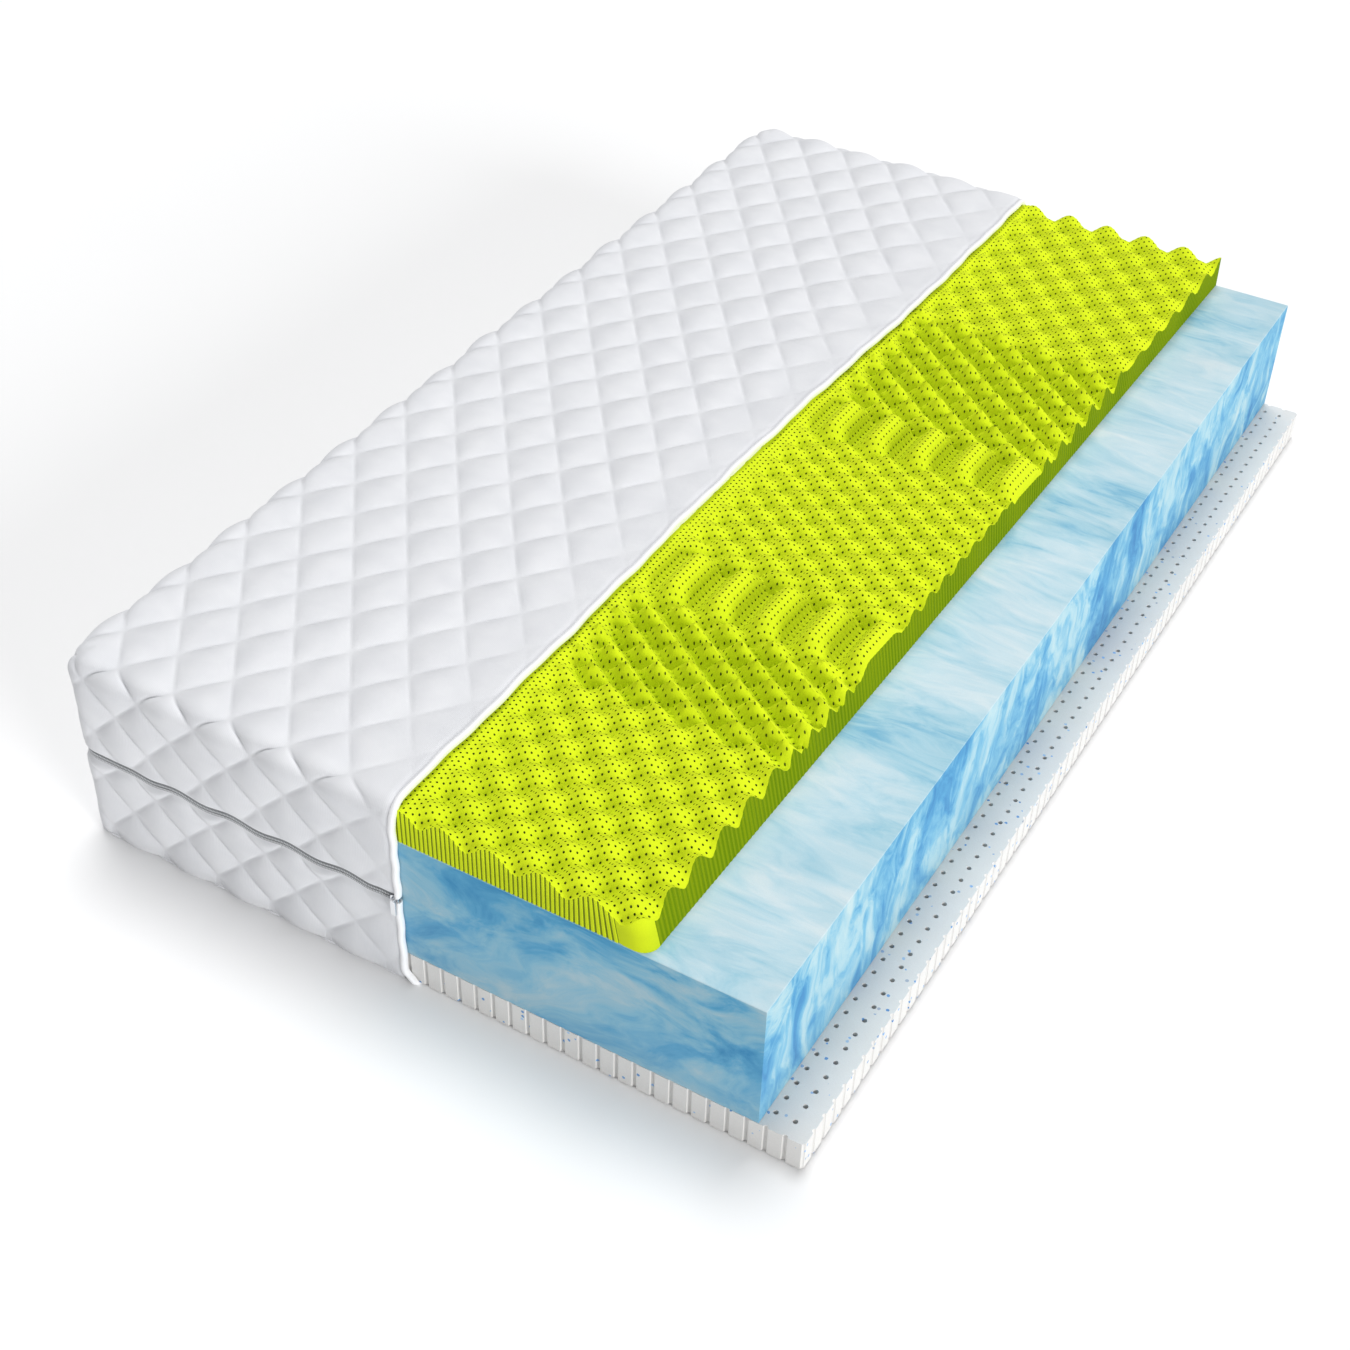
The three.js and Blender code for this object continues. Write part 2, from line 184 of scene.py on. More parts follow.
# Flecks of reground offcuts: where they can be, how far each reaches, and the share that is coloured
FLECKS_PER_METRE, FLECK_REACH, UNCOLOURED_FLECKS = 95.0, 0.34, 0.84
bits = put(tree, "TexVoronoi", {"Vector": place, "Scale": FLECKS_PER_METRE, "Randomness": 1.0})
bit_shape = put(tree, "TexNoise", {"Vector": place, "Scale": 420.0, "Detail": 2.0})
bit_size = reckon(tree, "MULTIPLY_ADD", bit_shape.outputs[0], 0.22, bits.outputs["Distance"])
bit_here = reckon(tree, "LESS_THAN", bit_size, FLECK_REACH)
draw = put(tree, "SeparateColor", {0: bits.outputs["Color"]})
coloured = reckon(tree, "GREATER_THAN", draw.outputs[0], UNCOLOURED_FLECKS)
chosen = reckon(tree, "MULTIPLY", bit_here, coloured)
blue = ramp(tree, draw.outputs[1], (0.0, (0.10, 0.27, 0.55, 1)), (0.45, (0.28, 0.50, 0.80, 1)),
            (0.7, (0.42, 0.44, 0.50, 1)), (1.0, (0.36, 0.60, 0.86, 1)))
colour = blend_colours(tree, chosen, white, blue)
finish_surface(tree, shader, colour, texture[0], 0.35, 0.0006)


def fluted_slab():
    """The base slab: one quarter cell at a time round every hole, and a plain part below the cover."""
    points, faces = [], []

    def face(ring, flip=False):
        start = len(points)
        points.extend(ring)
        order = range(start, start + len(ring))
        faces.append(list(reversed(order)) if flip else list(order))

    half = HOLE_PITCH / 2
    for column in range(HOLE_COLUMNS + 1):
        for row in range(HOLE_ROWS + 1):
            cx, cy = BASE_RIGHT - HOLE_PITCH * column, FOOT + HOLE_PITCH * row
            turns = SEEN_TURNS if column < SEEN_COLUMNS or row in (0, HOLE_ROWS) else HIDDEN_TURNS
            for sx, sy in ((1, 1), (1, -1), (-1, 1), (-1, -1)):
                outside = (column == 0 and sx > 0) or (row == 0 and sy < 0) or (row == HOLE_ROWS and sy > 0)
                if outside:
                    continue
                flip = sx * sy < 0
                arc = [(cx + sx * HOLE_RADIUS * math.cos(k * math.pi / 2 / turns),
                        cy + sy * HOLE_RADIUS * math.sin(k * math.pi / 2 / turns)) for k in range(turns + 1)]
                along, up = (cx + sx * half, cy), (cx, cy + sy * half)
                corner = (along[0], up[1])
                middle = turns // 2
                first = [along, corner] + arc[middle::-1]
                second = [corner, up] + arc[:middle - 1:-1]
                for ring in (first, second):
                    face([(x, y, BASE_HIGH) for x, y in ring], flip)
                    face([(x, y, BASE_LOW) for x, y in ring], not flip)
                walls = [(arc[k + 1], arc[k]) for k in range(turns)]
                if column == 0:
                    walls.append((up, arc[-1]))
                if row in (0, HOLE_ROWS):
                    walls.append((arc[0], along))
                for a, b in walls:
                    face([(*a, BASE_LOW), (*a, BASE_HIGH), (*b, BASE_HIGH), (*b, BASE_LOW)], flip)
    edge_x = BASE_RIGHT - HOLE_PITCH * HOLE_COLUMNS - half
    seam = [(edge_x, FOOT + half * k) for k in range(2 * HOLE_ROWS + 1)]
    round_left = (quarter_turn(LEFT + BLOCK_CORNER, HEAD - BLOCK_CORNER, BLOCK_CORNER, 90)
                  + quarter_turn(LEFT + BLOCK_CORNER, FOOT + BLOCK_CORNER, BLOCK_CORNER, 180))
    ring = seam + round_left
    face([(x, y, BASE_HIGH) for x, y in ring])
    face([(x, y, BASE_LOW) for x, y in ring], True)
    outer = [seam[-1]] + round_left + [seam[0]]
    for a, b in zip(outer, outer[1:]):
        face([(*a, BASE_LOW), (*b, BASE_LOW), (*b, BASE_HIGH), (*a, BASE_HIGH)])
    return weld(points, faces)


base_foam = make_piece("Base_foam", *fluted_slab(), [base_foam_finish])
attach(base_foam, "mattress")
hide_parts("base_foam")

# ---------------------------------------------------------------------------------------------
# Core foam. The thick gel memory foam, poured in white and two blues that swirl together, then
# sawn square with crisp edges. It is glued on the base foam, 65 mm short of it at the right.
# ---------------------------------------------------------------------------------------------
CORE_RIGHT, CORE_LOW, CORE_HIGH = 0.523, 0.0513, 0.2617
SAWN_EDGE = 0.0012

core_foam_finish, tree, shader, place = new_material("Core_foam", Roughness=0.88, Sheen_Weight=0.12)
facing = put(tree, "SeparateXYZ", {0: put(tree, "NewGeometry").outputs["True Normal"]})
# Sheared a little in height, so that the streaks climb across the sawn right face
sheared = put(tree, "Mapping", {"Vector": place, "Rotation": (math.radians(38), math.radians(7), 0.0),
                                "Scale": (2.1, 7.5, 4.2)}).outputs[0]
drift = put(tree, "TexNoise", {"Vector": sheared, "Scale": 0.75, "Detail": 3.0, "Roughness": 0.55})
drift_way = put(tree, "VectorMath", {0: drift.outputs["Color"], 1: (0.5, 0.5, 0.5)}, operation="SUBTRACT")
push = put(tree, "VectorMath", {0: drift_way.outputs[0], "Scale": 2.6}, operation="SCALE")
swirled = put(tree, "VectorMath", {0: sheared, 1: push.outputs[0]}, operation="ADD").outputs[0]
swirl = put(tree, "TexNoise", {"Vector": swirled, "Scale": 1.25, "Detail": 7.0, "Roughness": 0.6,
                               "Lacunarity": 2.1})
streak = put(tree, "TexNoise", {"Vector": swirled, "Scale": 4.2, "Detail": 4.0, "Roughness": 0.6})
broad_swirl = reckon(tree, "MULTIPLY", swirl.outputs[0], 0.82)
mixed = reckon(tree, "MULTIPLY_ADD", streak.outputs[0], 0.35, broad_swirl)
# Painted light and shade: the right side, the foot and the top each get their own mix of the white and the
# blues, lighter or darker for how the light falls on that face
side = ramp(tree, mixed, (0.40, (0.024, 0.215, 0.49, 1)), (0.50, (0.068, 0.33, 0.60, 1)),
            (0.58, (0.18, 0.48, 0.68, 1)), (0.66, (0.37, 0.62, 0.72, 1)), (0.78, (0.54, 0.71, 0.74, 1)))
foot = ramp(tree, mixed, (0.40, (0.025, 0.25, 0.51, 1)), (0.50, (0.09, 0.37, 0.61, 1)),
            (0.58, (0.22, 0.49, 0.65, 1)), (0.68, (0.37, 0.56, 0.65, 1)), (0.80, (0.48, 0.60, 0.66, 1)))
top = ramp(tree, mixed, (0.40, (0.165, 0.43, 0.61, 1)), (0.50, (0.33, 0.57, 0.68, 1)),
           (0.60, (0.46, 0.65, 0.73, 1)), (0.72, (0.58, 0.71, 0.76, 1)), (0.84, (0.67, 0.76, 0.78, 1)))
is_top = reckon(tree, "GREATER_THAN", facing.outputs[2], 0.7)
is_end = reckon(tree, "GREATER_THAN", reckon(tree, "ABSOLUTE", facing.outputs[1]), 0.7)
# Each face takes its painted light and shade by the way it looks
swirl_with_painted_face_light = blend_colours(tree, is_end, side, foot)
swirl_with_painted_face_light = blend_colours(tree, is_top, swirl_with_painted_face_light, top)
texture = use_group(tree, foam_cells, {"Place": place, "Cells per metre": 900.0})
speckle = ramp(tree, texture[1], (0.3, 0.90), (0.7, 1.0))
colour = blend_colours(tree, 1.0, swirl_with_painted_face_light, speckle, "MULTIPLY")
finish_surface(tree, shader, colour, texture[0], 0.25, 0.0004)


def block_outline(right):
    """The plan outline of a foam layer, anticlockwise from the foot, with its left corners rounded."""
    cx, foot_cy, head_cy = LEFT + BLOCK_CORNER, FOOT + BLOCK_CORNER, HEAD - BLOCK_CORNER
    return (quarter_turn(cx, foot_cy, BLOCK_CORNER, 180) + [(right, FOOT), (right, HEAD)]
            + quarter_turn(cx, head_cy, BLOCK_CORNER, 90))


def sawn_block(outline, low, high):
    """A slab with its sawn edges just broken, so that they catch the light."""
    cx, cy = np.mean(outline, axis=0)
    count, points, faces = len(outline), [], []
    for inset, z in ((SAWN_EDGE, low), (0, low + SAWN_EDGE), (0, high - SAWN_EDGE), (SAWN_EDGE, high)):
        for x, y in outline:
            points.append((x - math.copysign(inset, x - cx), y - math.copysign(inset, y - cy), z))
    for level in range(3):
        for k in range(count):
            a, b = level * count + k, level * count + (k + 1) % count
            faces.append((a, b, b + count, a + count))
    faces.append(tuple(range(count))[::-1])
    faces.append(tuple(range(3 * count, 4 * count)))
    return points, faces


points, faces = sawn_block(block_outline(CORE_RIGHT), CORE_LOW, CORE_HIGH)
core_foam = make_piece("Core_foam", points, faces, [core_foam_finish], sharp=50)
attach(core_foam, "mattress")
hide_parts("core_foam")

# ---------------------------------------------------------------------------------------------
# Comfort foam. The soft yellow-green top layer, cut into seven zones of bumps, sharp peaks and
# long ridges, and needled all over with fine holes. Its foot and head faces are ribbed, its near
# right corner is rounded and smooth, and its right face leans in a little towards the foot end.
# ---------------------------------------------------------------------------------------------
COMFORT_LOW, COMFORT_CELLS = 0.262, 700.0
# Where the top ends at the right, and how much further out the face's foot stands, at each end
TOP_RIGHT_FOOT, TOP_RIGHT_HEAD = 0.347, 0.385
LEAN_FOOT, LEAN_HEAD, LEAN_HEIGHT = 0.0145, 0.001, 0.062
NEAR_CORNER = 0.022
BUMP_PITCH, BUMP_X, PEAKS_INWARD, PEAK_POWER = 0.0752, 0.3525, 0.010, 1.3
# Each zone from the foot: its length, how many bumps that holds, its kind, its low level and its height
ZONES = (
    (0.031, 0.5, "bump", 0.2940, 0.0260), (0.320, 5, "bump", 0.2940, 0.0260),
    (0.200, 4, "peak", 0.2880, 0.0420), (0.149, 1, "ridge", 0.2900, 0.0400),
    (0.352, 7, "bump", 0.2960, 0.0230), (0.142, 1, "ridge", 0.2900, 0.0400),
    (0.309, 5, "peak", 0.2880, 0.0420), (0.477, 6, "bump", 0.2940, 0.0260),
)
ZONE_BLEND = 0.014
# Heights below the flat cover, beside its binding, and at the edges where the cover bends over
UNDER_COVER_TOP, FILLED_TOP, EDGE_TOP = 0.3215, 0.3170, 0.305
NEEDLE_COLUMNS, NEEDLE_ROWS = 54, 416
NEEDLE_RADIUS, NEEDLE_DEPTH = 0.00170, 0.009
OPEN_FROM = -0.0245
# The upright ribs of the sawn faces: each is a land between two grooves. They stop near the rounded corner
RIB_DEPTH, SIDE_RIB_DEPTH, SIDE_STRIPE = 0.0013, 0.0004, 0.0090
END_GROOVE, SIDE_GROOVE, LAND_SLOPE, WIDEST_LAND = 0.20, 0.03, 0.07, 0.012
RIBS_STOP, RIBS_FULL = 0.034, 0.040
HIDDEN_COLUMNS, HIDDEN_ROWS = 26, NEEDLE_ROWS // 2
TOP_SKIN, PITS, GROOVES, SAWN_SIDE = range(4)


def smooth(value, low, high):
    """A soft step from 0 at low to 1 at high."""
    t = np.clip((value - low) / (high - low), 0, 1)
    return t * t * (3 - 2 * t)


def zone_shape(kind, across, turn, to_zone_end):
    """The shape of one zone's bumps, from about 0 in the dips to 1 on top.

    Tops stand on a square grid and again halfway between: one and two are the shapes of those two sets."""
    du, dv = across - np.round(across), turn - np.round(turn)
    eu, ev = across - 0.5 - np.round(across - 0.5), turn - 0.5 - np.round(turn - 0.5)
    if kind == "bump":
        one, two, soft = 1 - 4 * (du ** 2 + dv ** 2), 1 - 4 * (eu ** 2 + ev ** 2), 0.20
    elif kind == "peak":
        # Cut with a steep side towards the foot and a gentle one towards the head
        dv, ev = [np.interp(v, (-0.5, -0.10, 0.5), (-0.5, 0.0, 0.5)) for v in (dv, ev)]
        one = 1 - 2 * (np.abs(du) ** PEAK_POWER + np.abs(dv) ** PEAK_POWER) ** (1 / PEAK_POWER)
        two = 1 - 2 * (np.abs(eu) ** PEAK_POWER + np.abs(ev) ** PEAK_POWER) ** (1 / PEAK_POWER)
        soft = 0.04
    else:
        one = (0.5 + 0.5 * np.cos(2 * math.pi * du)) ** 0.8 * smooth(to_zone_end, -0.012, 0.040)
        two, soft = 0.75 - 4 * (eu ** 2 + (to_zone_end / 0.055) ** 2), 0.10
    shape = 0.5 * (one + two + np.sqrt((one - two) ** 2 + soft ** 2))
    if kind == "bump":
        wave = 0.5 + 0.5 * np.cos(2 * math.pi * across) * np.cos(2 * math.pi * turn)
        shape = 0.45 * shape + 0.55 * wave
    return np.clip(shape, 0, 1.05)


def bump_height(x, y):
    """The height of the bumpy top at any place."""
    x, y = np.broadcast_arrays(np.asarray(x, float), np.asarray(y, float))
    from_foot = y - FOOT
    total = np.zeros(x.shape)
    weight = np.full(x.shape, 1e-6)
    start, count = 0.0, 0.0
    for length, bumps, kind, low, rise in ZONES:
        end = start + length
        across = (x - BUMP_X + (0.0 if kind == "bump" else PEAKS_INWARD)) / BUMP_PITCH
        turn = count + (from_foot - start) / length * bumps
        to_zone_end = np.minimum(np.abs(from_foot - start), np.abs(from_foot - start - length))
        here = smooth(from_foot, start - ZONE_BLEND, start + ZONE_BLEND)
        here = here * (1 - smooth(from_foot, end - ZONE_BLEND, end + ZONE_BLEND))
        total += here * (low + rise * zone_shape(kind, across, turn, to_zone_end))
        weight += here
        start += length
        count += bumps
    height = (total + 1e-6 * ZONES[-1][3]) / weight
    # Along the edge of the cover the foam fills up to the underside of the binding
    beside_cover = 1 - smooth(x, -0.010, 0.024)
    height = height * (1 - beside_cover) + np.maximum(height, FILLED_TOP) * beside_cover
    return np.where(x < 0.0, np.minimum(height, UNDER_COVER_TOP), height)


def top_right(y):
    """Where the top ends at the right, which is further out towards the head."""
    share = (y - FOOT) / (HEAD - FOOT)
    return TOP_RIGHT_FOOT + (TOP_RIGHT_HEAD - TOP_RIGHT_FOOT) * share


def lean_out(x, y, z):
    """The right face leans: its lower part stands further out than its top."""
    share = (y - FOOT) / (HEAD - FOOT)
    lean = (LEAN_FOOT + (LEAN_HEAD - LEAN_FOOT) * share) * smooth(x, 0.24, 0.34)
    return x + lean * (1 - (z - COMFORT_LOW) / LEAN_HEIGHT)


def comfort_place(m, n):
    """Where a point of the needle grid lies in plan, with the near right corner rounded."""
    m, n = np.asarray(m, float), np.asarray(n, float)
    y = FOOT + (HEAD - FOOT) * n / NEEDLE_ROWS
    x = OPEN_FROM + (top_right(y) - OPEN_FROM) * m / NEEDLE_COLUMNS
    cx, cy = top_right(FOOT) - NEAR_CORNER, FOOT + NEAR_CORNER
    s, t = (x - cx) / NEAR_CORNER, (cy - y) / NEAR_CORNER
    inside = (s > 0) & (t > 0)
    reach = np.where(inside, np.maximum(s, t) / np.maximum(np.hypot(s, t), 1e-9), 1.0)
    round_x, round_y = cx + s * reach * NEAR_CORNER, cy - t * reach * NEAR_CORNER
    return np.where(inside, round_x, x), np.where(inside, round_y, y)


def add_points(points, more):
    """Adds an array of points to the list of arrays, and says which number its first point has."""
    first = sum(len(p) for p in points)
    points.append(np.asarray(more, float))
    return first


def on_rim(m, n):
    """Whether a point of the needle grid is on the outline of the open part."""
    return (m == 0) | (m == NEEDLE_COLUMNS) | (n == 0) | (n == NEEDLE_ROWS)


def needle_holes(points, faces, kinds, grid, hole_m, hole_n):
    """A six-sided pit in the middle of each diamond cell, and the cell's top round it."""
    cx, cy = comfort_place(hole_m, hole_n)
    # The holes are round on the slopes too, so they are narrower there in plan
    step = 0.001
    steep_x = (bump_height(cx + step, cy) - bump_height(cx - step, cy)) / (2 * step)
    steep_y = (bump_height(cx, cy + step) - bump_height(cx, cy - step)) / (2 * step)
    wide, long = NEEDLE_RADIUS / (1 + steep_x ** 2) ** 0.4, NEEDLE_RADIUS / (1 + steep_y ** 2) ** 0.25
    ring = []
    for k in range(6):
        rx, ry = cx + wide * math.cos(math.radians(60 * k)), cy + long * math.sin(math.radians(60 * k))
        rz = bump_height(rx, ry)
        ring.append(np.stack([lean_out(rx, ry, rz), ry, rz], 1))
    rz = bump_height(cx, cy)
    ring.append(np.stack([lean_out(cx, cy, rz), cy, rz - NEEDLE_DEPTH], 1))
    first = add_points(points, np.stack(ring, 1).reshape(-1, 3))
    for k, (m, n) in enumerate(zip(hole_m.tolist(), hole_n.tolist())):
        v = [first + 7 * k + j for j in range(7)]
        east, north, west, south = grid[m + 1, n], grid[m, n + 1], grid[m - 1, n], grid[m, n - 1]
        faces += [(east, north, v[1], v[0]), (north, v[2], v[1]), (north, west, v[3], v[2]),
                  (west, south, v[4], v[3]), (south, v[5], v[4]), (south, east, v[0], v[5])]
        kinds += [TOP_SKIN] * 6
        faces += [(v[j], v[(j + 1) % 6], v[6]) for j in range(6)]
        kinds += [PITS] * 6


def needled_part(points, faces, kinds):
    """The open part of the top, on a diamond grid with a needle hole in each cell."""
    all_m, all_n = np.meshgrid(np.arange(NEEDLE_COLUMNS + 1), np.arange(NEEDLE_ROWS + 1), indexing="ij")
    all_m, all_n = all_m.ravel(), all_n.ravel()
    middle, rim = (all_m + all_n) % 2 == 0, on_rim(all_m, all_n)
    kept_m, kept_n = all_m[~middle | rim], all_n[~middle | rim]
    x, y = comfort_place(kept_m, kept_n)
    # The faces are ribbed: the grid's own points lie in the grooves, set back from the lands between them
    ribbed = smooth(np.hypot(x - TOP_RIGHT_FOOT, y - FOOT), RIBS_STOP, RIBS_FULL)
    y = y + RIB_DEPTH * ribbed * ((kept_n == 0) * 1.0 - (kept_n == NEEDLE_ROWS) * 1.0)
    x = x - SIDE_RIB_DEPTH * ribbed * (kept_m == NEEDLE_COLUMNS)
    z = bump_height(x, y)
    first = add_points(points, np.stack([lean_out(x, y, z), y, z], 1))
    grid = {(m, n): first + k for k, (m, n) in enumerate(zip(kept_m.tolist(), kept_n.tolist()))}
    needle_holes(points, faces, kinds, grid, all_m[middle & ~rim], all_n[middle & ~rim])
    # Plain half cells along the four sides
    for m, n in zip(all_m[middle & rim].tolist(), all_n[middle & rim].tolist()):
        if n == 0:
            order = [(m - 1, n), (m, n), (m + 1, n), (m, n + 1)]
        elif n == NEEDLE_ROWS:
            order = [(m + 1, n), (m, n), (m - 1, n), (m, n - 1)]
        elif m == 0:
            order = [(m, n + 1), (m, n), (m, n - 1), (m + 1, n)]
        else:
            order = [(m, n - 1), (m, n), (m, n + 1), (m - 1, n)]
        ring = [grid[p] for p in order if p in grid]
        if len(ring) > 2:
            faces.append(tuple(ring))
            kinds.append(TOP_SKIN)
    return grid


def hidden_part(points, faces, kinds, grid):
    """The part below the cover, on a coarser grid with rounded left corners. Gives a table of its points."""
    columns, rows = HIDDEN_COLUMNS, HIDDEN_ROWS
    gx = np.linspace(LEFT, OPEN_FROM, columns + 1)[:-1]
    gy = FOOT + (HEAD - FOOT) * np.arange(rows + 1) / rows
    x, y = [a.copy() for a in np.meshgrid(gx, gy, indexing="ij")]
    for cy, way in ((FOOT + BLOCK_CORNER, -1), (HEAD - BLOCK_CORNER, 1)):
        s, t = (LEFT + BLOCK_CORNER - x) / BLOCK_CORNER, way * (y - cy) / BLOCK_CORNER
        inside = (s > 0) & (t > 0)
        reach = np.maximum(s, t) / np.maximum(np.hypot(s, t), 1e-9)
        x = np.where(inside, LEFT + BLOCK_CORNER - s * reach * BLOCK_CORNER, x)
        y = np.where(inside, cy + way * t * reach * BLOCK_CORNER, y)
    y[:, 0] += np.where(x[:, 0] > LEFT + BLOCK_CORNER, RIB_DEPTH, 0)
    y[:, -1] -= np.where(x[:, -1] > LEFT + BLOCK_CORNER, RIB_DEPTH, 0)
    from_edge = np.minimum(np.minimum(y - FOOT, HEAD - y), x - LEFT)
    tucked = EDGE_TOP + (UNDER_COVER_TOP - EDGE_TOP) * smooth(from_edge, 0.0, 0.03)
    z = np.minimum(bump_height(x, y), tucked)
    first = add_points(points, np.stack([x, y, z], -1).reshape(-1, 3))
    table = {(c, r): first + c * (rows + 1) + r for c in range(columns) for r in range(rows + 1)}
    table.update({(columns, r): grid[0, 2 * r] for r in range(rows + 1)})
    for c in range(columns):
        for r in range(rows):
            ring = [table[c, r], table[c + 1, r], table[c + 1, r + 1], table[c, r + 1]]
            if c == columns - 1:
                ring.insert(2, grid[0, 2 * r + 1])
            faces.append(tuple(ring))
            kinds.append(TOP_SKIN)
    return table


def upright_faces(points, faces, kinds, loop):
    """The four upright faces, with a land between each two grooves, and the flat underside."""
    flat = np.concatenate(points)
    wall_top, lands = [], []
    for k, index in enumerate(loop):
        next_index = loop[(k + 1) % len(loop)]
        a, b = flat[index], flat[next_index]
        run = (b - a)[:2]
        length = np.hypot(*run)
        out = np.array([run[1], -run[0]]) / max(length, 1e-9)
        middle = (a + b) / 2
        depth = 0.0
        if np.hypot(middle[0] - TOP_RIGHT_FOOT, middle[1] - FOOT) >= RIBS_FULL:
            if abs(out[1]) > 0.9:
                depth = RIB_DEPTH
            elif out[0] > 0.9 and k % 2:
                depth = SIDE_RIB_DEPTH
        wall_top.append((index, 0))
        if depth and length < WIDEST_LAND:
            gap = END_GROOVE if depth == RIB_DEPTH else SIDE_GROOVE
            full = gap + LAND_SLOPE
            for share, proud in ((gap, 0.0), (full, 1.0), (1 - full, 1.0), (1 - gap, 0.0)):
                spot = a[:2] + run * share + out * depth * proud
                lands.append((spot[0], spot[1], a[2] + (b[2] - a[2]) * share))
                wall_top.append((len(flat) + len(lands) - 1, 1))
            mark = len(flat) + len(lands)
            faces.append((index, mark - 4, mark - 3, mark - 2, mark - 1, next_index))
            kinds.append(TOP_SKIN)
    add_points(points, lands)
    flat = np.concatenate(points)
    low = []
    for index, _ in wall_top:
        px, py, pz = flat[index]
        low.append((float(lean_out(px, py, 2 * COMFORT_LOW + LEAN_HEIGHT - pz)), py, COMFORT_LOW))
    first_low = add_points(points, low)
    size = len(wall_top)
    for k in range(size):
        n = (k + 1) % size
        (this, on_land), (following, next_on_land) = wall_top[k], wall_top[n]
        faces.append((this, first_low + k, first_low + n, following))
        (ax, ay, _), (bx, by, _) = flat[this], flat[following]
        end_face = abs(ax - bx) > abs(ay - by) * 2 and ax > OPEN_FROM - 0.05
        right_face = min(ax, bx) > TOP_RIGHT_FOOT - 0.004 and min(ay, by) > FOOT + NEAR_CORNER
        if on_land + next_on_land == 1 and end_face:
            kinds.append(GROOVES)
        else:
            kinds.append(SAWN_SIDE if right_face else TOP_SKIN)
    faces.append(tuple(range(first_low + size - 1, first_low - 1, -1)))
    kinds.append(TOP_SKIN)


def comfort_mesh():
    """The whole comfort foam, with the number of the material of each face."""
    points, faces, kinds = [], [], []
    grid = needled_part(points, faces, kinds)
    table = hidden_part(points, faces, kinds, grid)
    loop = [table[c, 0] for c in range(HIDDEN_COLUMNS)] + [grid[m, 0] for m in range(NEEDLE_COLUMNS + 1)]
    loop += [grid[NEEDLE_COLUMNS, n] for n in range(1, NEEDLE_ROWS + 1)]
    loop += [grid[m, NEEDLE_ROWS] for m in range(NEEDLE_COLUMNS - 1, -1, -1)]
    loop += [table[c, HIDDEN_ROWS] for c in range(HIDDEN_COLUMNS - 1, -1, -1)]
    loop += [table[0, r] for r in range(HIDDEN_ROWS - 1, 0, -1)]
    upright_faces(points, faces, kinds, loop)
    return np.concatenate(points), faces, kinds


# Dots in a staggered grid, for the needle holes of the part that the cover hides
needle_dots, given, result = new_group(
    "Needle_dots", [("Place", VECTOR, None), ("Across", NUMBER, 0.0142), ("Along", NUMBER, 0.0095),
                    ("Radius", NUMBER, 0.0014)], [("Mask", NUMBER)])
split = put(needle_dots, "SeparateXYZ", {0: given[0]})
masks = []
for shift in (0.0, 0.5):
    squares = []
    for axis, pitch in ((0, given[1]), (1, given[2])):
        step = reckon(needle_dots, "ADD", reckon(needle_dots, "DIVIDE", split.outputs[axis], pitch), shift)
        off = reckon(needle_dots, "SUBTRACT", reckon(needle_dots, "FRACT", step), 0.5)
        squares.append(reckon(needle_dots, "POWER", reckon(needle_dots, "MULTIPLY", off, pitch), 2.0))
    away = reckon(needle_dots, "SQRT", reckon(needle_dots, "ADD", squares[0], squares[1]))
    masks.append(reckon(needle_dots, "LESS_THAN", away, given[3]))
needle_dots.links.new(reckon(needle_dots, "MAXIMUM", masks[0], masks[1]), result[0])

comfort_finish, tree, shader, place = new_material("Comfort_foam", Roughness=0.9, Specular_IOR_Level=0.25)
texture = use_group(tree, foam_cells, {"Place": place, "Cells per metre": COMFORT_CELLS})
green = blend_colours(tree, texture[1], (0.55, 0.69, 0.005, 1), (0.77, 0.89, 0.012, 1))
# Painted shade: the lower the foam lies, the darker its green, down to 0.88 in the dips
height_of = put(tree, "SeparateXYZ", {0: place})
low_share = put(tree, "MapRange", {0: height_of.outputs[2], 1: 0.285, 2: 0.322})
painted_dip_shade = ramp(tree, low_share.outputs[0], (0.0, 0.88), (0.6, 1.0))
green = blend_colours(tree, 1.0, green, painted_dip_shade, "MULTIPLY")
facing = put(tree, "SeparateXYZ", {0: put(tree, "NewGeometry").outputs["True Normal"]})
# Painted shade: dark dots for the needle holes where the cover hides the foam, on faces that look up
dots = use_group(tree, needle_dots, {"Place": place})
hidden = reckon(tree, "LESS_THAN", height_of.outputs[0], OPEN_FROM)
flat_enough = reckon(tree, "GREATER_THAN", facing.outputs[2], 0.3)
painted_hole_shade = reckon(tree, "MULTIPLY", reckon(tree, "MULTIPLY", dots[0], hidden), flat_enough)
green = blend_colours(tree, painted_hole_shade, green, (0.10, 0.16, 0.002, 1))
finish_surface(tree, shader, green, texture[0], 0.30, 0.0005)


def shaded_foam(name, dark, light):
    """A darker foam finish with painted shade, for the pits and grooves, which hardly any light gets into.
    """
    material, tree, shader, place = new_material(name, Roughness=0.95)
    texture = use_group(tree, foam_cells, {"Place": place, "Cells per metre": COMFORT_CELLS})
    colour = blend_colours(tree, texture[1], dark, light)
    finish_surface(tree, shader, colour, texture[0], 0.3, 0.0005)
    return material


# Painted shade inside the needle pits and in the grooves of the ribbed faces
needle_pit_shade_finish = shaded_foam("Comfort_foam_hole_shade", (0.060, 0.095, 0.001, 1), (0.12, 0.17, 0.002, 1))
groove_shade_finish = shaded_foam("Comfort_foam_groove_shade", (0.16, 0.21, 0.001, 1), (0.24, 0.30, 0.002, 1))
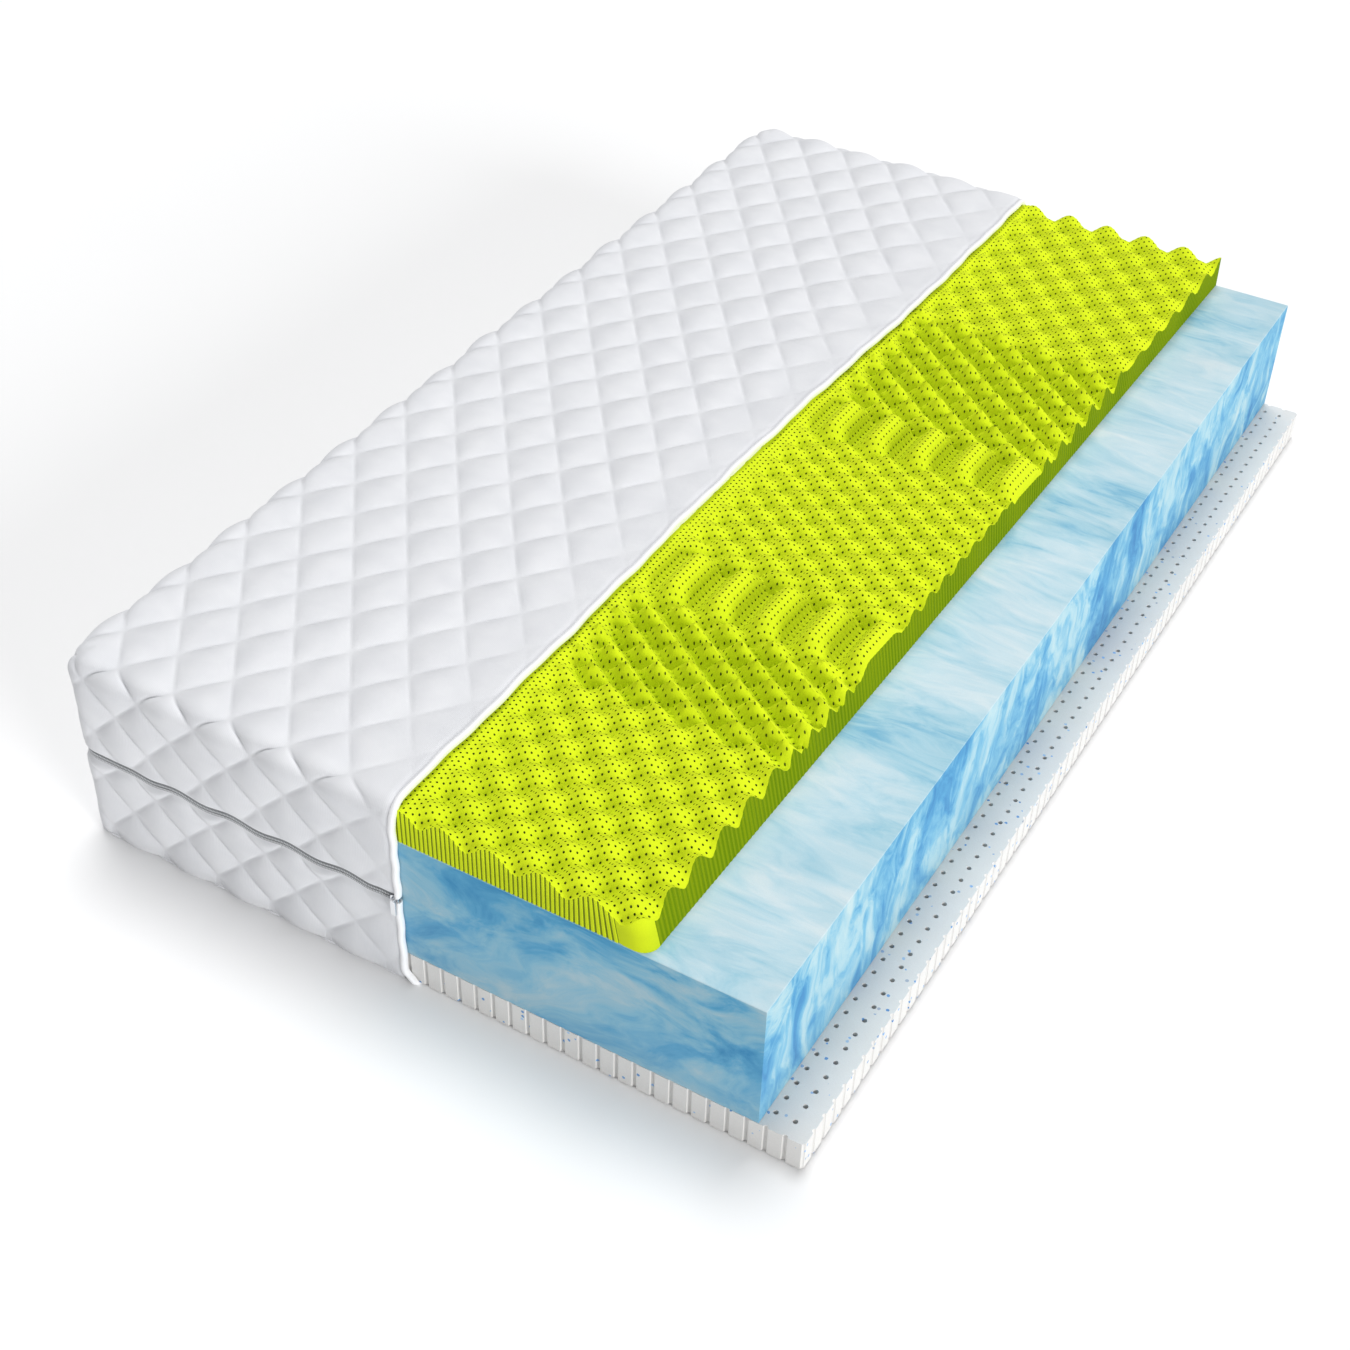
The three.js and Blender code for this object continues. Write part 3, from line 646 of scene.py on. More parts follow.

# The right face is sawn, with faint upright stripes. Its green is duller, and much darker than the top's:
# painted shade
side_finish, tree, shader, place = new_material("Comfort_foam_side_shaded", Roughness=0.9, Specular_IOR_Level=0.05)
texture = use_group(tree, foam_cells, {"Place": place, "Cells per metre": COMFORT_CELLS})
along = put(tree, "SeparateXYZ", {0: place}).outputs[1]
stripe = reckon(tree, "SINE", reckon(tree, "MULTIPLY", along, 2 * math.pi / SIDE_STRIPE))
stripe = reckon(tree, "MULTIPLY_ADD", stripe, 0.35, texture[1])
# Painted shade: these greens are far darker than the top's
shaded_side_green = ramp(tree, stripe, (0.2, (0.145, 0.240, 0.002, 1)), (0.8, (0.225, 0.315, 0.004, 1)))
finish_surface(tree, shader, shaded_side_green, texture[0], 0.3, 0.0005)

points, faces, kinds = comfort_mesh()
comfort_finishes = [comfort_finish, needle_pit_shade_finish, groove_shade_finish, side_finish]
comfort_foam = make_piece("Comfort_foam", points, faces, comfort_finishes, kinds, sharp=48)
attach(comfort_foam, "mattress")
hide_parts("comfort_foam")

# ---------------------------------------------------------------------------------------------
# Lower cover. A quilted border, three plies thick, goes round the foot, left and head sides below
# the zip and turns under onto a plain knitted panel. Backing, wadding and ticking are sewn through
# along crossing diagonal lines, and the raw cut edge is bound with a white bias strip.
# ---------------------------------------------------------------------------------------------
# Half a diamond of the quilting: across, along, and where the sewn lines start
DIAMOND_X, DIAMOND_Y, FIRST_X, FIRST_Y = 0.049, 0.06515, -0.494, -0.973
# The edges of the top, counted in half diamonds from there
EDGE_I, EDGE_J, END_I, FAR_J = -1.75, -0.5, 9.5, 30.5
SEAM_OUT, PUFF, BEND_SWELL = 0.0066, 0.0072, 0.45
COVERED_TOP, PLY_END = 0.3220, -0.0246
ZIP_HEIGHT = 0.160
ZIP_WAVE, ZIP_WAVE_PITCH, ZIP_WAVE_TOP = 0.0030, 0.098, -0.303
# Heights of the rows of crossings on the sides of the cap and on the border, from the top edge down
CUT_CAP, CUT_BORDER, ROLL_UNDER = 0.1665, 0.154, 0.010
CAP_ROWS, CAP_HEIGHTS = (0.0, 0.5, 1.5, 2.5, 3.5), (0.302, 0.256, 0.207, 0.153)
BORDER_ROWS, BORDER_HEIGHTS = (3.75, 4.5, 5.5, 6.5), (CUT_BORDER, 0.125, 0.076, 0.028)
# How much of the quilting is lost at the upright corners, what is left of it at the cut, and how wide
# the strips are that flatten towards the cut, swell over the top edge and turn in at the zip
CORNER_SOFT, CUT_LEFT, CUT_STRIP, BEND_STRIP, ZIP_STRIP = 0.65, 0.22, 0.125, 0.032, 0.011
ON_TOP, ON_FOOT, ON_LEFT, ON_HEAD = range(4)


def noise(x, y, seed, scale):
    """Soft, repeatable bumps between -1 and 1, from a few sine waves in seeded directions."""
    draw = np.random.default_rng(seed)
    total = 0.0
    for _ in range(6):
        angle, phase = draw.uniform(0, 2 * math.pi), draw.uniform(0, 2 * math.pi)
        length = scale * draw.uniform(0.6, 1.7)
        total = total + np.sin((x * math.cos(angle) + y * math.sin(angle)) * 2 * math.pi / length + phase)
    return total / 3.5


def puff_height(i, j):
    """The quilting's rise from 0 on the sewn lines to 1 in the middle of a diamond."""
    p, q = (i + j) / 2, (i - j) / 2
    one, two = 2 * np.abs(p - np.round(p)), 2 * np.abs(q - np.round(q))
    plump = 1 + 0.10 * np.sin(12.9898 * np.floor(p) + 78.233 * np.floor(q))
    return plump * (one * (2 - one) * two * (2 - two)) ** 0.72


def zip_line(x, left_side):
    """How far the zip strays from a straight line, beside the foot or head edge."""
    steady = smooth(x, -0.505, -0.44) * (1 - smooth(x, -0.075, -0.045)) * (1 - left_side)
    return ZIP_WAVE * np.cos(2 * math.pi * (x - ZIP_WAVE_TOP) / ZIP_WAVE_PITCH) * steady


def cut_edge(y):
    """Where the cover ends across the top, a slightly wavy line."""
    share = (y - FOOT) / (HEAD - FOOT)
    swell = 0.012 * smooth(share, 0.55, 0.80) - 0.006 * np.exp(-((share - 0.42) / 0.14) ** 2)
    return -0.0235 + swell + 0.0012 * np.sin(y * 31.0 + 0.6) + 0.0007 * np.sin(y * 74.0)


def ply_rows(upper, steps, top):
    """The rows down the sides: their count in half diamonds, height, slope, and how far they turn under."""
    if upper:
        down = np.arange(0, round(3.25 * steps) + 1) / steps
        none = np.zeros(len(down))
        return down, np.interp(down, CAP_ROWS, (top,) + CAP_HEIGHTS), none, none
    down = np.arange(round(3.75 * steps), round(7.0 * steps) + 3) / steps
    upright, bend = BORDER_HEIGHTS[-1] - ROLL_UNDER, ROLL_UNDER * math.pi / 2
    along = np.maximum(0, down - BORDER_ROWS[-1]) / 0.5 * (upright + bend)
    slope = np.clip((along - upright) / ROLL_UNDER, 0, math.pi / 2)
    height = np.where(along > 0, np.minimum(BORDER_HEIGHTS[-1] - along, ROLL_UNDER),
                      np.interp(down, BORDER_ROWS, BORDER_HEIGHTS))
    height = np.where(slope > 0, ROLL_UNDER * (1 - np.sin(slope)) + 0.0004, height)
    under = ROLL_UNDER * (1 - np.cos(slope)) + np.maximum(0, along - upright - bend)
    return down, height, slope, under


def ply_patches(upper, steps, out, top):
    """The sides of a ply before they are rounded and quilted, each as a set of equal grids.

    A grid holds x, y and z, then each point's count along the quilting by the foot's pattern and by the left
    side's, then the side, the slope and the turn under."""
    west, foot, head = LEFT - out, FOOT - out, HEAD + out
    i = (np.arange(round(EDGE_I * steps), round(END_I * steps) + 1) / steps)[:, None]
    j = (np.arange(round(EDGE_J * steps), round(FAR_J * steps) + 1) / steps)[None, :]
    x = np.interp(i, (EDGE_I, -1.0, END_I), (west, FIRST_X - DIAMOND_X, FIRST_X + DIAMOND_X * END_I))
    y = np.interp(j, (EDGE_J, 0.0, 30.0, FAR_J), (foot, FIRST_Y, FIRST_Y + 30 * DIAMOND_Y, head))
    down, z, slope, under = [row[None, :] for row in ply_rows(upper, steps, top)]
    left_j, left_y = j.T, y.T
    near_foot = left_j < 15
    left_i = np.where(near_foot, EDGE_I - (left_j - EDGE_J), EDGE_I - (FAR_J - left_j))
    left_rows = np.where(near_foot, EDGE_J - down, FAR_J + down)
    patches = [
        (x, foot, z, i, EDGE_J - down, EDGE_I - down, EDGE_J - (i - EDGE_I), ON_FOOT, slope, under),
        (west, left_y, z, left_i, left_rows, EDGE_I - down, left_j, ON_LEFT, slope, under),
        (x, head, z, i, FAR_J + down, EDGE_I - down, FAR_J + (i - EDGE_I), ON_HEAD, slope, under),
    ]
    if upper:
        patches.insert(0, (x, y, top, i, j, i, j, ON_TOP, 0, 0))
    return [[np.array(grid, float) for grid in np.broadcast_arrays(*patch)] for patch in patches]


def upright_corner(x, y, out):
    """Rounds the two left corners in plan. Gives the place, the way outwards and how far the edge is."""
    west, foot, head, corner = LEFT - out, FOOT - out, HEAD + out, BLOCK_CORNER + out
    cy = np.where(y < 0, foot + corner, head - corner)
    s, t = (west + corner - x) / corner, np.where(y < 0, cy - y, y - cy) / corner
    inside = (s > 0) & (t > 0)
    radius = np.maximum(np.hypot(s, t), 1e-9)
    reach = np.where(inside, np.maximum(s, t) / radius, 1)
    to_end = np.minimum(y - foot, head - y)
    edge = np.where(inside, corner * (1 - np.maximum(s, t)), np.minimum(x - west, to_end))
    sign = np.where(y < 0, -1.0, 1.0)
    nearest_left = (x - west) <= to_end
    nx = np.where(inside, -s / radius, np.where(nearest_left, -1.0, 0.0))
    ny = np.where(inside, sign * t / radius, np.where(nearest_left, 0.0, sign))
    x = np.where(inside, west + corner - s * reach * corner, x)
    y = np.where(inside, cy + sign * t * reach * corner, y)
    return x, y, nx, ny, edge


def quilted_patch(patch, upper, out, top, edge_r, puff, ends, hem):
    """Rounds and quilts one patch. Gives its points and the outward direction at each."""
    x, y, z, i_foot, j_foot, i_left, j_left, side, slope, under = patch
    on_side = side > 0
    # Stop at the cut, which wanders a little across the top
    stop = cut_edge(y) - ends if upper else np.full(x.shape, PLY_END - ends + 0.006)
    down_the_wall = (1 - smooth(z, 0.290, COVERED_TOP)) * on_side
    stop = stop * (1 - down_the_wall) + np.minimum(stop, PLY_END - ends + 0.004) * down_the_wall
    grid_end = FIRST_X + DIAMOND_X * END_I
    x = x + (stop - grid_end) * smooth(i_foot, 6.5, END_I) * (side != ON_LEFT)
    x, y, nx, ny, edge = upright_corner(x, y, out)
    # The long top edge, rounded in height
    back = np.clip(edge_r - edge, 0, edge_r)
    rise = np.clip(edge_r - (top - z), 0, edge_r)
    reach = np.maximum(np.hypot(back, rise), 1e-9)
    rounded = (back > 0) & (rise > 0)
    cos_out = np.where(rounded, back / reach, on_side * 1.0)
    cos_up = np.where(rounded, rise / reach, (side == ON_TOP) * 1.0)
    px = np.where(rounded, x - nx * back + nx * edge_r * back / reach, x)
    py = np.where(rounded, y - ny * back + ny * edge_r * back / reach, y)
    pz = np.where(rounded, top - edge_r + edge_r * rise / reach, z)
    # Under the mattress the border turns inwards
    px, py = px - nx * under, py - ny * under
    cos_out = np.where(slope > 0, np.cos(slope), cos_out)
    # Quilting, drawn with the foot's pattern or the left side's, and softer round the corners
    turned = np.arctan2(np.abs(nx), np.abs(ny)) / (math.pi / 2)
    straight = (2 * turned - 1) ** 2
    below_top = smooth(top - z, 0.0, 0.05) if upper else np.ones(z.shape)
    share = smooth(turned, 0.5 - 0.25 * below_top - 1e-6, 0.5 + 0.25 * below_top + 1e-6) * on_side
    quilt = puff_height(i_foot, j_foot) * (1 - share) + puff_height(i_left, j_left) * share
    soften = CORNER_SOFT * (1 - straight) * below_top * on_side
    quilt = quilt * (1 - soften) + 0.75 * soften
    # It flattens towards the cut, and swells most where it bends over the long top edge
    to_cut = np.where(side == ON_LEFT, 1.0, stop - x)
    quilt = quilt * (CUT_LEFT + (1 - CUT_LEFT) * smooth(to_cut, 0.0, CUT_STRIP))
    quilt = quilt + 0.30 * (1 - smooth(to_cut, 0.0, 0.10))
    bend = np.where(side == ON_TOP, edge, top - z) if upper else np.ones(z.shape)
    quilt = quilt * (1 + BEND_SWELL * straight * np.exp(-(bend / BEND_STRIP) ** 2))
    lift = puff * quilt + 0.0007 * noise(px + 0.7 * pz, py + 0.7 * pz, seed=4, scale=0.11) * (puff > 0)
    # Free edges turn in: at the cut below the binding and at the zip
    zip_gap = np.abs(pz - (CUT_CAP if upper else CUT_BORDER))
    turn_in = np.where(on_side, (1 - smooth(zip_gap, 0.0, ZIP_STRIP)) ** 1.5, 0.0)
    turn_in = np.maximum(turn_in, (1 - smooth(to_cut, 0.0, 0.008)) * 0.6)
    lift = lift * (1 - turn_in) - hem * turn_in
    lift = np.where(slope > 0, lift * np.cos(slope), lift)
    wave = zip_line(x, (side == ON_LEFT) * 1.0) * on_side * (1 - smooth(zip_gap, 0.002, 0.045))
    px = px + nx * cos_out * lift
    py = py + ny * cos_out * lift
    pz = np.maximum(pz + cos_up * lift + wave, 0.0003)
    if not upper:
        pz = np.where(slope >= math.pi / 2 - 1e-6, 0.0004, pz)
    outward = np.stack([nx * cos_out, ny * cos_out, (side == ON_TOP) * 1.0], -1)
    return np.stack([px, py, pz], -1), outward


def patch_faces(patch, spots, outward, start):
    """Two triangles for each cell, split along the sewn line that crosses it or runs beside it."""
    side = int(patch[7].flat[0])
    i, j = (patch[5], patch[6]) if side == ON_LEFT else (patch[3], patch[4])
    total_i, total_j = i[:-1, :-1] + i[1:, 1:], j[:-1, :-1] + j[1:, 1:]
    p, q = (total_i + total_j) / 4, (total_i - total_j) / 4
    falling = (np.abs(p - np.round(p)) < np.abs(q - np.round(q))) != (side in (ON_FOOT, ON_LEFT))
    # All faces look outwards
    normals = np.cross(spots[1:, :-1] - spots[:-1, :-1], spots[:-1, 1:] - spots[:-1, :-1])
    turn_over = (normals * outward[:-1, :-1]).sum() < 0
    faces = []
    columns = spots.shape[1]
    for a in range(spots.shape[0] - 1):
        for b in range(columns - 1):
            k = start + a * columns + b
            ring = (k, k + columns, k + columns + 1, k + 1)
            if falling[a, b]:
                pair = [(ring[1], ring[2], ring[3]), (ring[1], ring[3], ring[0])]
            else:
                pair = [(ring[0], ring[1], ring[2]), (ring[0], ring[2], ring[3])]
            faces.extend(f[::-1] if turn_over else f for f in pair)
    return faces


def cover_ply(upper, steps, out, top_out, edge_r, puff, ends, hem):
    """One ply of the quilted cover, as a grid over the top and the three sides. Gives points and faces.

    out and top_out are how far its sewn lines lie from the foam, edge_r is the radius of the long top
    edge, puff is how far it rises between the sewn lines, ends is how far short of the cut it stops, and
    hem is how far its free edges turn in."""
    top = COVERED_TOP + top_out
    points, faces = [], []
    for patch in ply_patches(upper, steps, out, top):
        spots, outward = quilted_patch(patch, upper, out, top, edge_r, puff, ends, hem)
        first = add_points(points, spots.reshape(-1, 3))
        faces += patch_faces(patch, spots, outward, first)
    return weld(np.concatenate(points), faces)


def thicken(points, faces, inner_points):
    """Closes a ply with a second skin inside it, which has the same faces."""
    count = len(points)
    edges = dict.fromkeys((a, face[(k + 1) % len(face)]) for face in faces for k, a in enumerate(face))
    rim = [(a, b) for a, b in edges if (b, a) not in edges]
    closed = list(faces) + [tuple(count + k for k in reversed(f)) for f in faces]
    closed += [(b, a, count + a, count + b) for a, b in rim]
    return np.concatenate([points, inner_points]), closed


SEEN_STEPS, HIDDEN_STEPS = 12, 4


def sewn_plies(upper, ends):
    """The ticking, wadding and backing of one half of the cover, each as points and faces."""
    ticking = cover_ply(upper, SEEN_STEPS, out=SEAM_OUT, top_out=SEAM_OUT, edge_r=0.0266, puff=PUFF,
                        ends=0.0, hem=0.0)
    below = SEAM_OUT - 0.0018
    outer, faces = cover_ply(upper, HIDDEN_STEPS, out=below, top_out=below, edge_r=0.0248, puff=PUFF * 0.9,
                             ends=ends, hem=0.0006)
    inner, _ = cover_ply(upper, HIDDEN_STEPS, out=0.0019, top_out=0.0014, edge_r=0.0150, puff=0.0,
                         ends=ends, hem=0.0)
    backing = cover_ply(upper, HIDDEN_STEPS, out=0.0010, top_out=0.0010, edge_r=0.0140, puff=0.0004,
                        ends=ends, hem=0.0)
    return ticking, thicken(outer, faces, inner), backing


# A fine knit: upright wales with small loops along them
knit, given, result = new_group(
    "Knit", [("Place", VECTOR, None), ("Wales per metre", NUMBER, 420.0),
             ("Loops per metre", NUMBER, 520.0)], [("Height", NUMBER), ("Shade", NUMBER)])
warp = put(knit, "TexNoise", {"Vector": given[0], "Scale": 14.0, "Detail": 2.0})
shifted = put(knit, "VectorMath", {0: warp.outputs["Color"], "Scale": 0.004}, operation="SCALE")
bent = put(knit, "VectorMath", {0: given[0], 1: shifted.outputs[0]}, operation="ADD")
split = put(knit, "SeparateXYZ", {0: bent.outputs[0]})
upright = reckon(knit, "ADD", split.outputs[1], split.outputs[2])
counts = reckon(knit, "MULTIPLY", split.outputs[0], given[1]), reckon(knit, "MULTIPLY", upright, given[2])
wale, loop = [reckon(knit, "SINE", reckon(knit, "MULTIPLY", count, 2 * math.pi)) for count in counts]
rough_yarn = put(knit, "TexNoise", {"Vector": given[0], "Scale": 1400.0, "Detail": 2.0})
yarn = reckon(knit, "MULTIPLY_ADD", loop, 0.25, reckon(knit, "MULTIPLY", wale, 0.5))
knit.links.new(reckon(knit, "MULTIPLY_ADD", rough_yarn.outputs[0], 0.5, yarn), result[0])
patches_of_light = put(knit, "TexNoise", {"Vector": given[0], "Scale": 22.0, "Detail": 5.0})
knit.links.new(reckon(knit, "MULTIPLY_ADD", wale, 0.10, patches_of_light.outputs[0]), result[1])


def knitted(name, dark, light, wales, loops, strength, **sockets):
    """A knitted or woven cloth in two close shades."""
    material, tree, shader, place = new_material(name, **sockets)
    texture = use_group(tree, knit, {"Place": place, "Wales per metre": wales, "Loops per metre": loops})
    share = ramp(tree, texture[1], (0.25, 0.0), (0.75, 1.0))
    colour = blend_colours(tree, share, dark, light)
    finish_surface(tree, shader, colour, texture[0], strength, 0.0005)
    return material


ticking_finish = knitted("Ticking", (0.695, 0.705, 0.735, 1), (0.76, 0.768, 0.792, 1), 420.0, 560.0, 0.30,
                         Roughness=0.78, Sheen_Weight=0.35, Sheen_Roughness=0.4)
backing_finish = knitted("Backing", (0.66, 0.67, 0.69, 1), (0.75, 0.76, 0.78, 1), 900.0, 900.0, 0.20,
                         Roughness=0.9, Sheen_Weight=0.15)

wadding_finish, tree, shader, place = new_material("Wadding", Roughness=0.95, Sheen_Weight=0.4)
fibres = put(tree, "TexNoise", {"Vector": place, "Scale": 260.0, "Detail": 6.0, "Distortion": 2.5})
fibre_white = blend_colours(tree, fibres.outputs[0], (0.80, 0.80, 0.79, 1), (0.93, 0.93, 0.92, 1))
finish_surface(tree, shader, fibre_white, fibres.outputs[0], 0.6, 0.0015)

ticking, wadding, backing = sewn_plies(upper=False, ends=0.003)
border_ticking = make_piece("Cover_bottom_ticking", *ticking, [ticking_finish], sharp=180)
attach(border_ticking, "mattress")
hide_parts("cover_bottom_ticking")

border_wadding = make_piece("Cover_bottom_wadding", *wadding, [wadding_finish], sharp=60)
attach(border_wadding, "mattress")
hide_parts("cover_bottom_wadding")

border_backing = make_piece("Cover_bottom_backing", *backing, [backing_finish], sharp=180)
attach(border_backing, "mattress")
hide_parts("cover_bottom_backing")

PANEL_LEVELS, PANEL_INSET, PANEL_COLUMNS, PANEL_ROWS = (0.0006, 0.0018), 0.012, 24, 84


def plain_panel():
    """The panel under the foam, with a slight rise where the quilting presses through."""
    gx, gy = np.meshgrid(np.linspace(LEFT + PANEL_INSET, PLY_END, PANEL_COLUMNS + 1),
                         np.linspace(FOOT + PANEL_INSET, HEAD - PANEL_INSET, PANEL_ROWS + 1), indexing="ij")
    wavy = 0.0003 * puff_height((gx - FIRST_X) / DIAMOND_X, (gy - FIRST_Y) / DIAMOND_Y)
    low, high = [np.stack([gx, gy, level + wavy], -1).reshape(-1, 3) for level in PANEL_LEVELS]
    step = PANEL_ROWS + 1
    corners = [a * step + b for a in range(PANEL_COLUMNS) for b in range(PANEL_ROWS)]
    return thicken(low, [(k + 1, k + 1 + step, k + step, k) for k in corners], high)


panel = make_piece("Cover_bottom_panel", *plain_panel(), [backing_finish], sharp=50)
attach(panel, "mattress")
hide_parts("cover_bottom_panel")

# ---------------------------------------------------------------------------------------------
# Bindings. A bias-cut strip of white satin folded over the three plies at the cut edge and sewn
# down. It rolls into a smooth cord-like edge about 8 mm wide, a little uneven by hand.
# ---------------------------------------------------------------------------------------------
BINDING_HALF_WIDTH, BINDING_HALF_THICK = 0.0043, 0.0052
# The section is a rounded square: a circle whose sine and cosine are raised to this power
BINDING_SIDES, BINDING_SQUARE = 16, 0.72

binding_finish, tree, shader, place = new_material(
    "Binding", Roughness=0.5, Sheen_Weight=0.25, Coat_Weight=0.08, Coat_Roughness=0.4)
weave = put(tree, "TexWave", {"Vector": place, "Scale": 260.0, "Distortion": 1.5, "Detail": 2.0},
            bands_direction="DIAGONAL")
soil = put(tree, "TexNoise", {"Vector": place, "Scale": 30.0, "Detail": 4.0})
satin = blend_colours(tree, soil.outputs[0], (0.84, 0.845, 0.86, 1), (0.93, 0.93, 0.94, 1))
finish_surface(tree, shader, satin, weave.outputs["Fac"], 0.15, 0.0003)


def bound_edge(name, path_x, spots, ways, widths, thicks):
    """A flattened tube along the cut. spots and ways hold y and z of its path and of the way outwards."""
    points, faces = [], []
    count = len(spots)
    for k in range(count):
        for s in range(BINDING_SIDES):
            angle = 2 * math.pi * s / BINDING_SIDES
            c, v = math.cos(angle), math.sin(angle)
            dx = math.copysign(abs(c) ** BINDING_SQUARE, c) * widths[k]
            dn = math.copysign(abs(v) ** BINDING_SQUARE, v) * thicks[k]
            points.append((path_x[k] + dx, spots[k][0] + ways[k][0] * dn, spots[k][1] + ways[k][1] * dn))
    for k in range(count - 1):
        for s in range(BINDING_SIDES):
            a, b = k * BINDING_SIDES + s, k * BINDING_SIDES + (s + 1) % BINDING_SIDES
            faces.append((a, b, b + BINDING_SIDES, a + BINDING_SIDES))
    faces.append(tuple(range(BINDING_SIDES))[::-1])
    faces.append(tuple(range((count - 1) * BINDING_SIDES, count * BINDING_SIDES)))
    return make_piece(name, points, faces, [binding_finish], sharp=60)


def round_the_block(out, low, top, edge_r, step=0.006):
    """Points up the foot face, over the top and down the head face, with the way outwards at each."""
    foot, head = FOOT - out, HEAD + out
    turns = [math.pi / 2 * k / CORNER_SEGMENTS for k in range(CORNER_SEGMENTS + 1)]
    spots, ways = [], []
    for z in np.arange(low, top - edge_r, step):
        spots.append((foot, z))
        ways.append((-1.0, 0.0))
    for turn in turns:
        spots.append((foot + edge_r * (1 - math.cos(turn)), top - edge_r + edge_r * math.sin(turn)))
        ways.append((-math.cos(turn), math.sin(turn)))
    for y in np.arange(foot + edge_r + step, head - edge_r, step):
        spots.append((y, top))
        ways.append((0.0, 1.0))
    for turn in turns:
        spots.append((head - edge_r + edge_r * math.sin(turn), top - edge_r + edge_r * math.cos(turn)))
        ways.append((math.sin(turn), math.cos(turn)))
    for z in np.arange(top - edge_r - step, low - 1e-6, -step):
        spots.append((head, z))
        ways.append((1.0, 0.0))
    return np.array(spots), np.array(ways)


def hand_sewn(count, seed, share):
    """A gentle unevenness along a sewn strip."""
    walk = np.arange(count)
    draw = np.random.default_rng(seed)
    total = sum(np.sin(walk * 2 * math.pi / draw.uniform(9, 40) + draw.uniform(0, 6)) for _ in range(5)) / 5
    return 1 + share * total


MIDDLE_OUT, CAP_BINDING_END, BORDER_BINDING_END, TOP_EDGE_RADIUS = 0.0058, 0.1640, 0.1560, 0.026
WALL_X = PLY_END + BINDING_HALF_WIDTH - 0.0002
binding_top = COVERED_TOP + MIDDLE_OUT - 0.0004
spots, ways = round_the_block(MIDDLE_OUT, CAP_BINDING_END, binding_top, TOP_EDGE_RADIUS)
on_top = smooth(spots[:, 1], 0.290, COVERED_TOP)
path_x = WALL_X * (1 - on_top) + (cut_edge(spots[:, 0]) + BINDING_HALF_WIDTH - 0.001) * on_top
path_x = path_x + 0.0008 * np.sin(spots[:, 1] * 150) * (1 - on_top)
cap_binding = bound_edge("Cover_top_binding", path_x, spots, ways,
                         BINDING_HALF_WIDTH * hand_sewn(len(spots), seed=5, share=0.12),
                         BINDING_HALF_THICK * hand_sewn(len(spots), seed=6, share=0.07))
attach(cap_binding, "cover_top")
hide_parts("cover_top_binding")

# Below the zip it runs down the foot face, hooks a little way towards the open side and on
# underneath, where the mattress presses it flat, and up the head face again
HOOK, HOOK_TOP = 0.017, 0.024
TURN_RADIUS, UNDER_HEIGHT, PRESSED_THICK = 0.0075, 0.0011, 0.0010


def down_and_under():
    """The path of the lower binding, the way outwards at each point, and how far it is pressed flat."""
    foot, head = FOOT - MIDDLE_OUT, HEAD + MIDDLE_OUT
    spots = [(foot, z) for z in np.arange(BORDER_BINDING_END, 0.0085, -0.005)]
    ways, pressed = [(-1.0, 0.0)] * len(spots), [0.0] * len(spots)
    turns = [(math.cos(math.pi / 2 * k / 8), math.sin(math.pi / 2 * k / 8), k / 8) for k in range(9)]
    for c, v, share in turns[1:]:
        spots.append((foot + TURN_RADIUS * (1 - c), UNDER_HEIGHT + TURN_RADIUS * (1 - v)))
        ways.append((-c, -v))
        pressed.append(share)
    for y in np.arange(FOOT + 0.010, HEAD - 0.009, 0.012):
        spots.append((y, UNDER_HEIGHT))
        ways.append((0.0, -1.0))
        pressed.append(1.0)
    for c, v, share in turns[-2::-1]:
        spots.append((head - TURN_RADIUS * (1 - c), UNDER_HEIGHT + TURN_RADIUS * (1 - v)))
        ways.append((c, -v))
        pressed.append(share)
    for z in np.arange(0.0110, BORDER_BINDING_END + 0.001, 0.005):
        spots.append((head, z))
        ways.append((1.0, 0.0))
        pressed.append(0.0)
    return np.array(spots), np.array(ways), np.array(pressed)


spots, ways, pressed = down_and_under()
from_end = np.minimum(spots[:, 0] - FOOT, HEAD - spots[:, 0])
path_x = WALL_X + HOOK * (1 - smooth(spots[:, 1], 0.001, HOOK_TOP)) * (1 - smooth(from_end, 0.0, 0.05))
path_x = path_x + 0.0008 * np.sin(spots[:, 1] * 120 + 1.0) * (pressed < 0.1)
thicks = BINDING_HALF_THICK * (1 - pressed) + PRESSED_THICK * pressed
thicks = np.where(pressed >= 1, PRESSED_THICK * 0.95, thicks * hand_sewn(len(spots), seed=8, share=0.05))
border_binding = bound_edge("Cover_bottom_binding", path_x, spots, -ways,
                            BINDING_HALF_WIDTH * hand_sewn(len(spots), seed=7, share=0.12), thicks)
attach(border_binding, "mattress")
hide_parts("cover_bottom_binding")

# ---------------------------------------------------------------------------------------------
# Upper cover. The other half of the bag: a quilted cap of the same three plies over the top and
# the upper part of the sides, which unzips and lifts off for washing.
# ---------------------------------------------------------------------------------------------
ticking, wadding, backing = sewn_plies(upper=True, ends=0.004)
cap_ticking = make_piece("Cover_top_ticking", *ticking, [ticking_finish], sharp=180)
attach(cap_ticking, "cover_top")
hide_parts("cover_top_ticking")

cap_wadding = make_piece("Cover_top_wadding", *wadding, [wadding_finish], sharp=60)
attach(cap_wadding, "cover_top")
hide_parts("cover_top_wadding")

cap_backing = make_piece("Cover_top_backing", *backing, [backing_finish], sharp=180)
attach(cap_backing, "cover_top")
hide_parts("cover_top_backing")

# ---------------------------------------------------------------------------------------------
# Zip. Two woven tapes sewn behind the free edges of the two cover halves, each with a row of
# moulded teeth. It runs from the cut edge at the foot, round the left side, to the cut at the head.
# ---------------------------------------------------------------------------------------------
TAPE_OUT, TAPE_HALF_THICK, TAPE_NEAR, TAPE_FAR = 0.0061, 0.0004, 0.0011, 0.0088
TOOTH_PITCH, TOOTH_LONG, TOOTH_WIDE, TOOTH_THICK = 0.0026, 0.0031, 0.0016, 0.0015
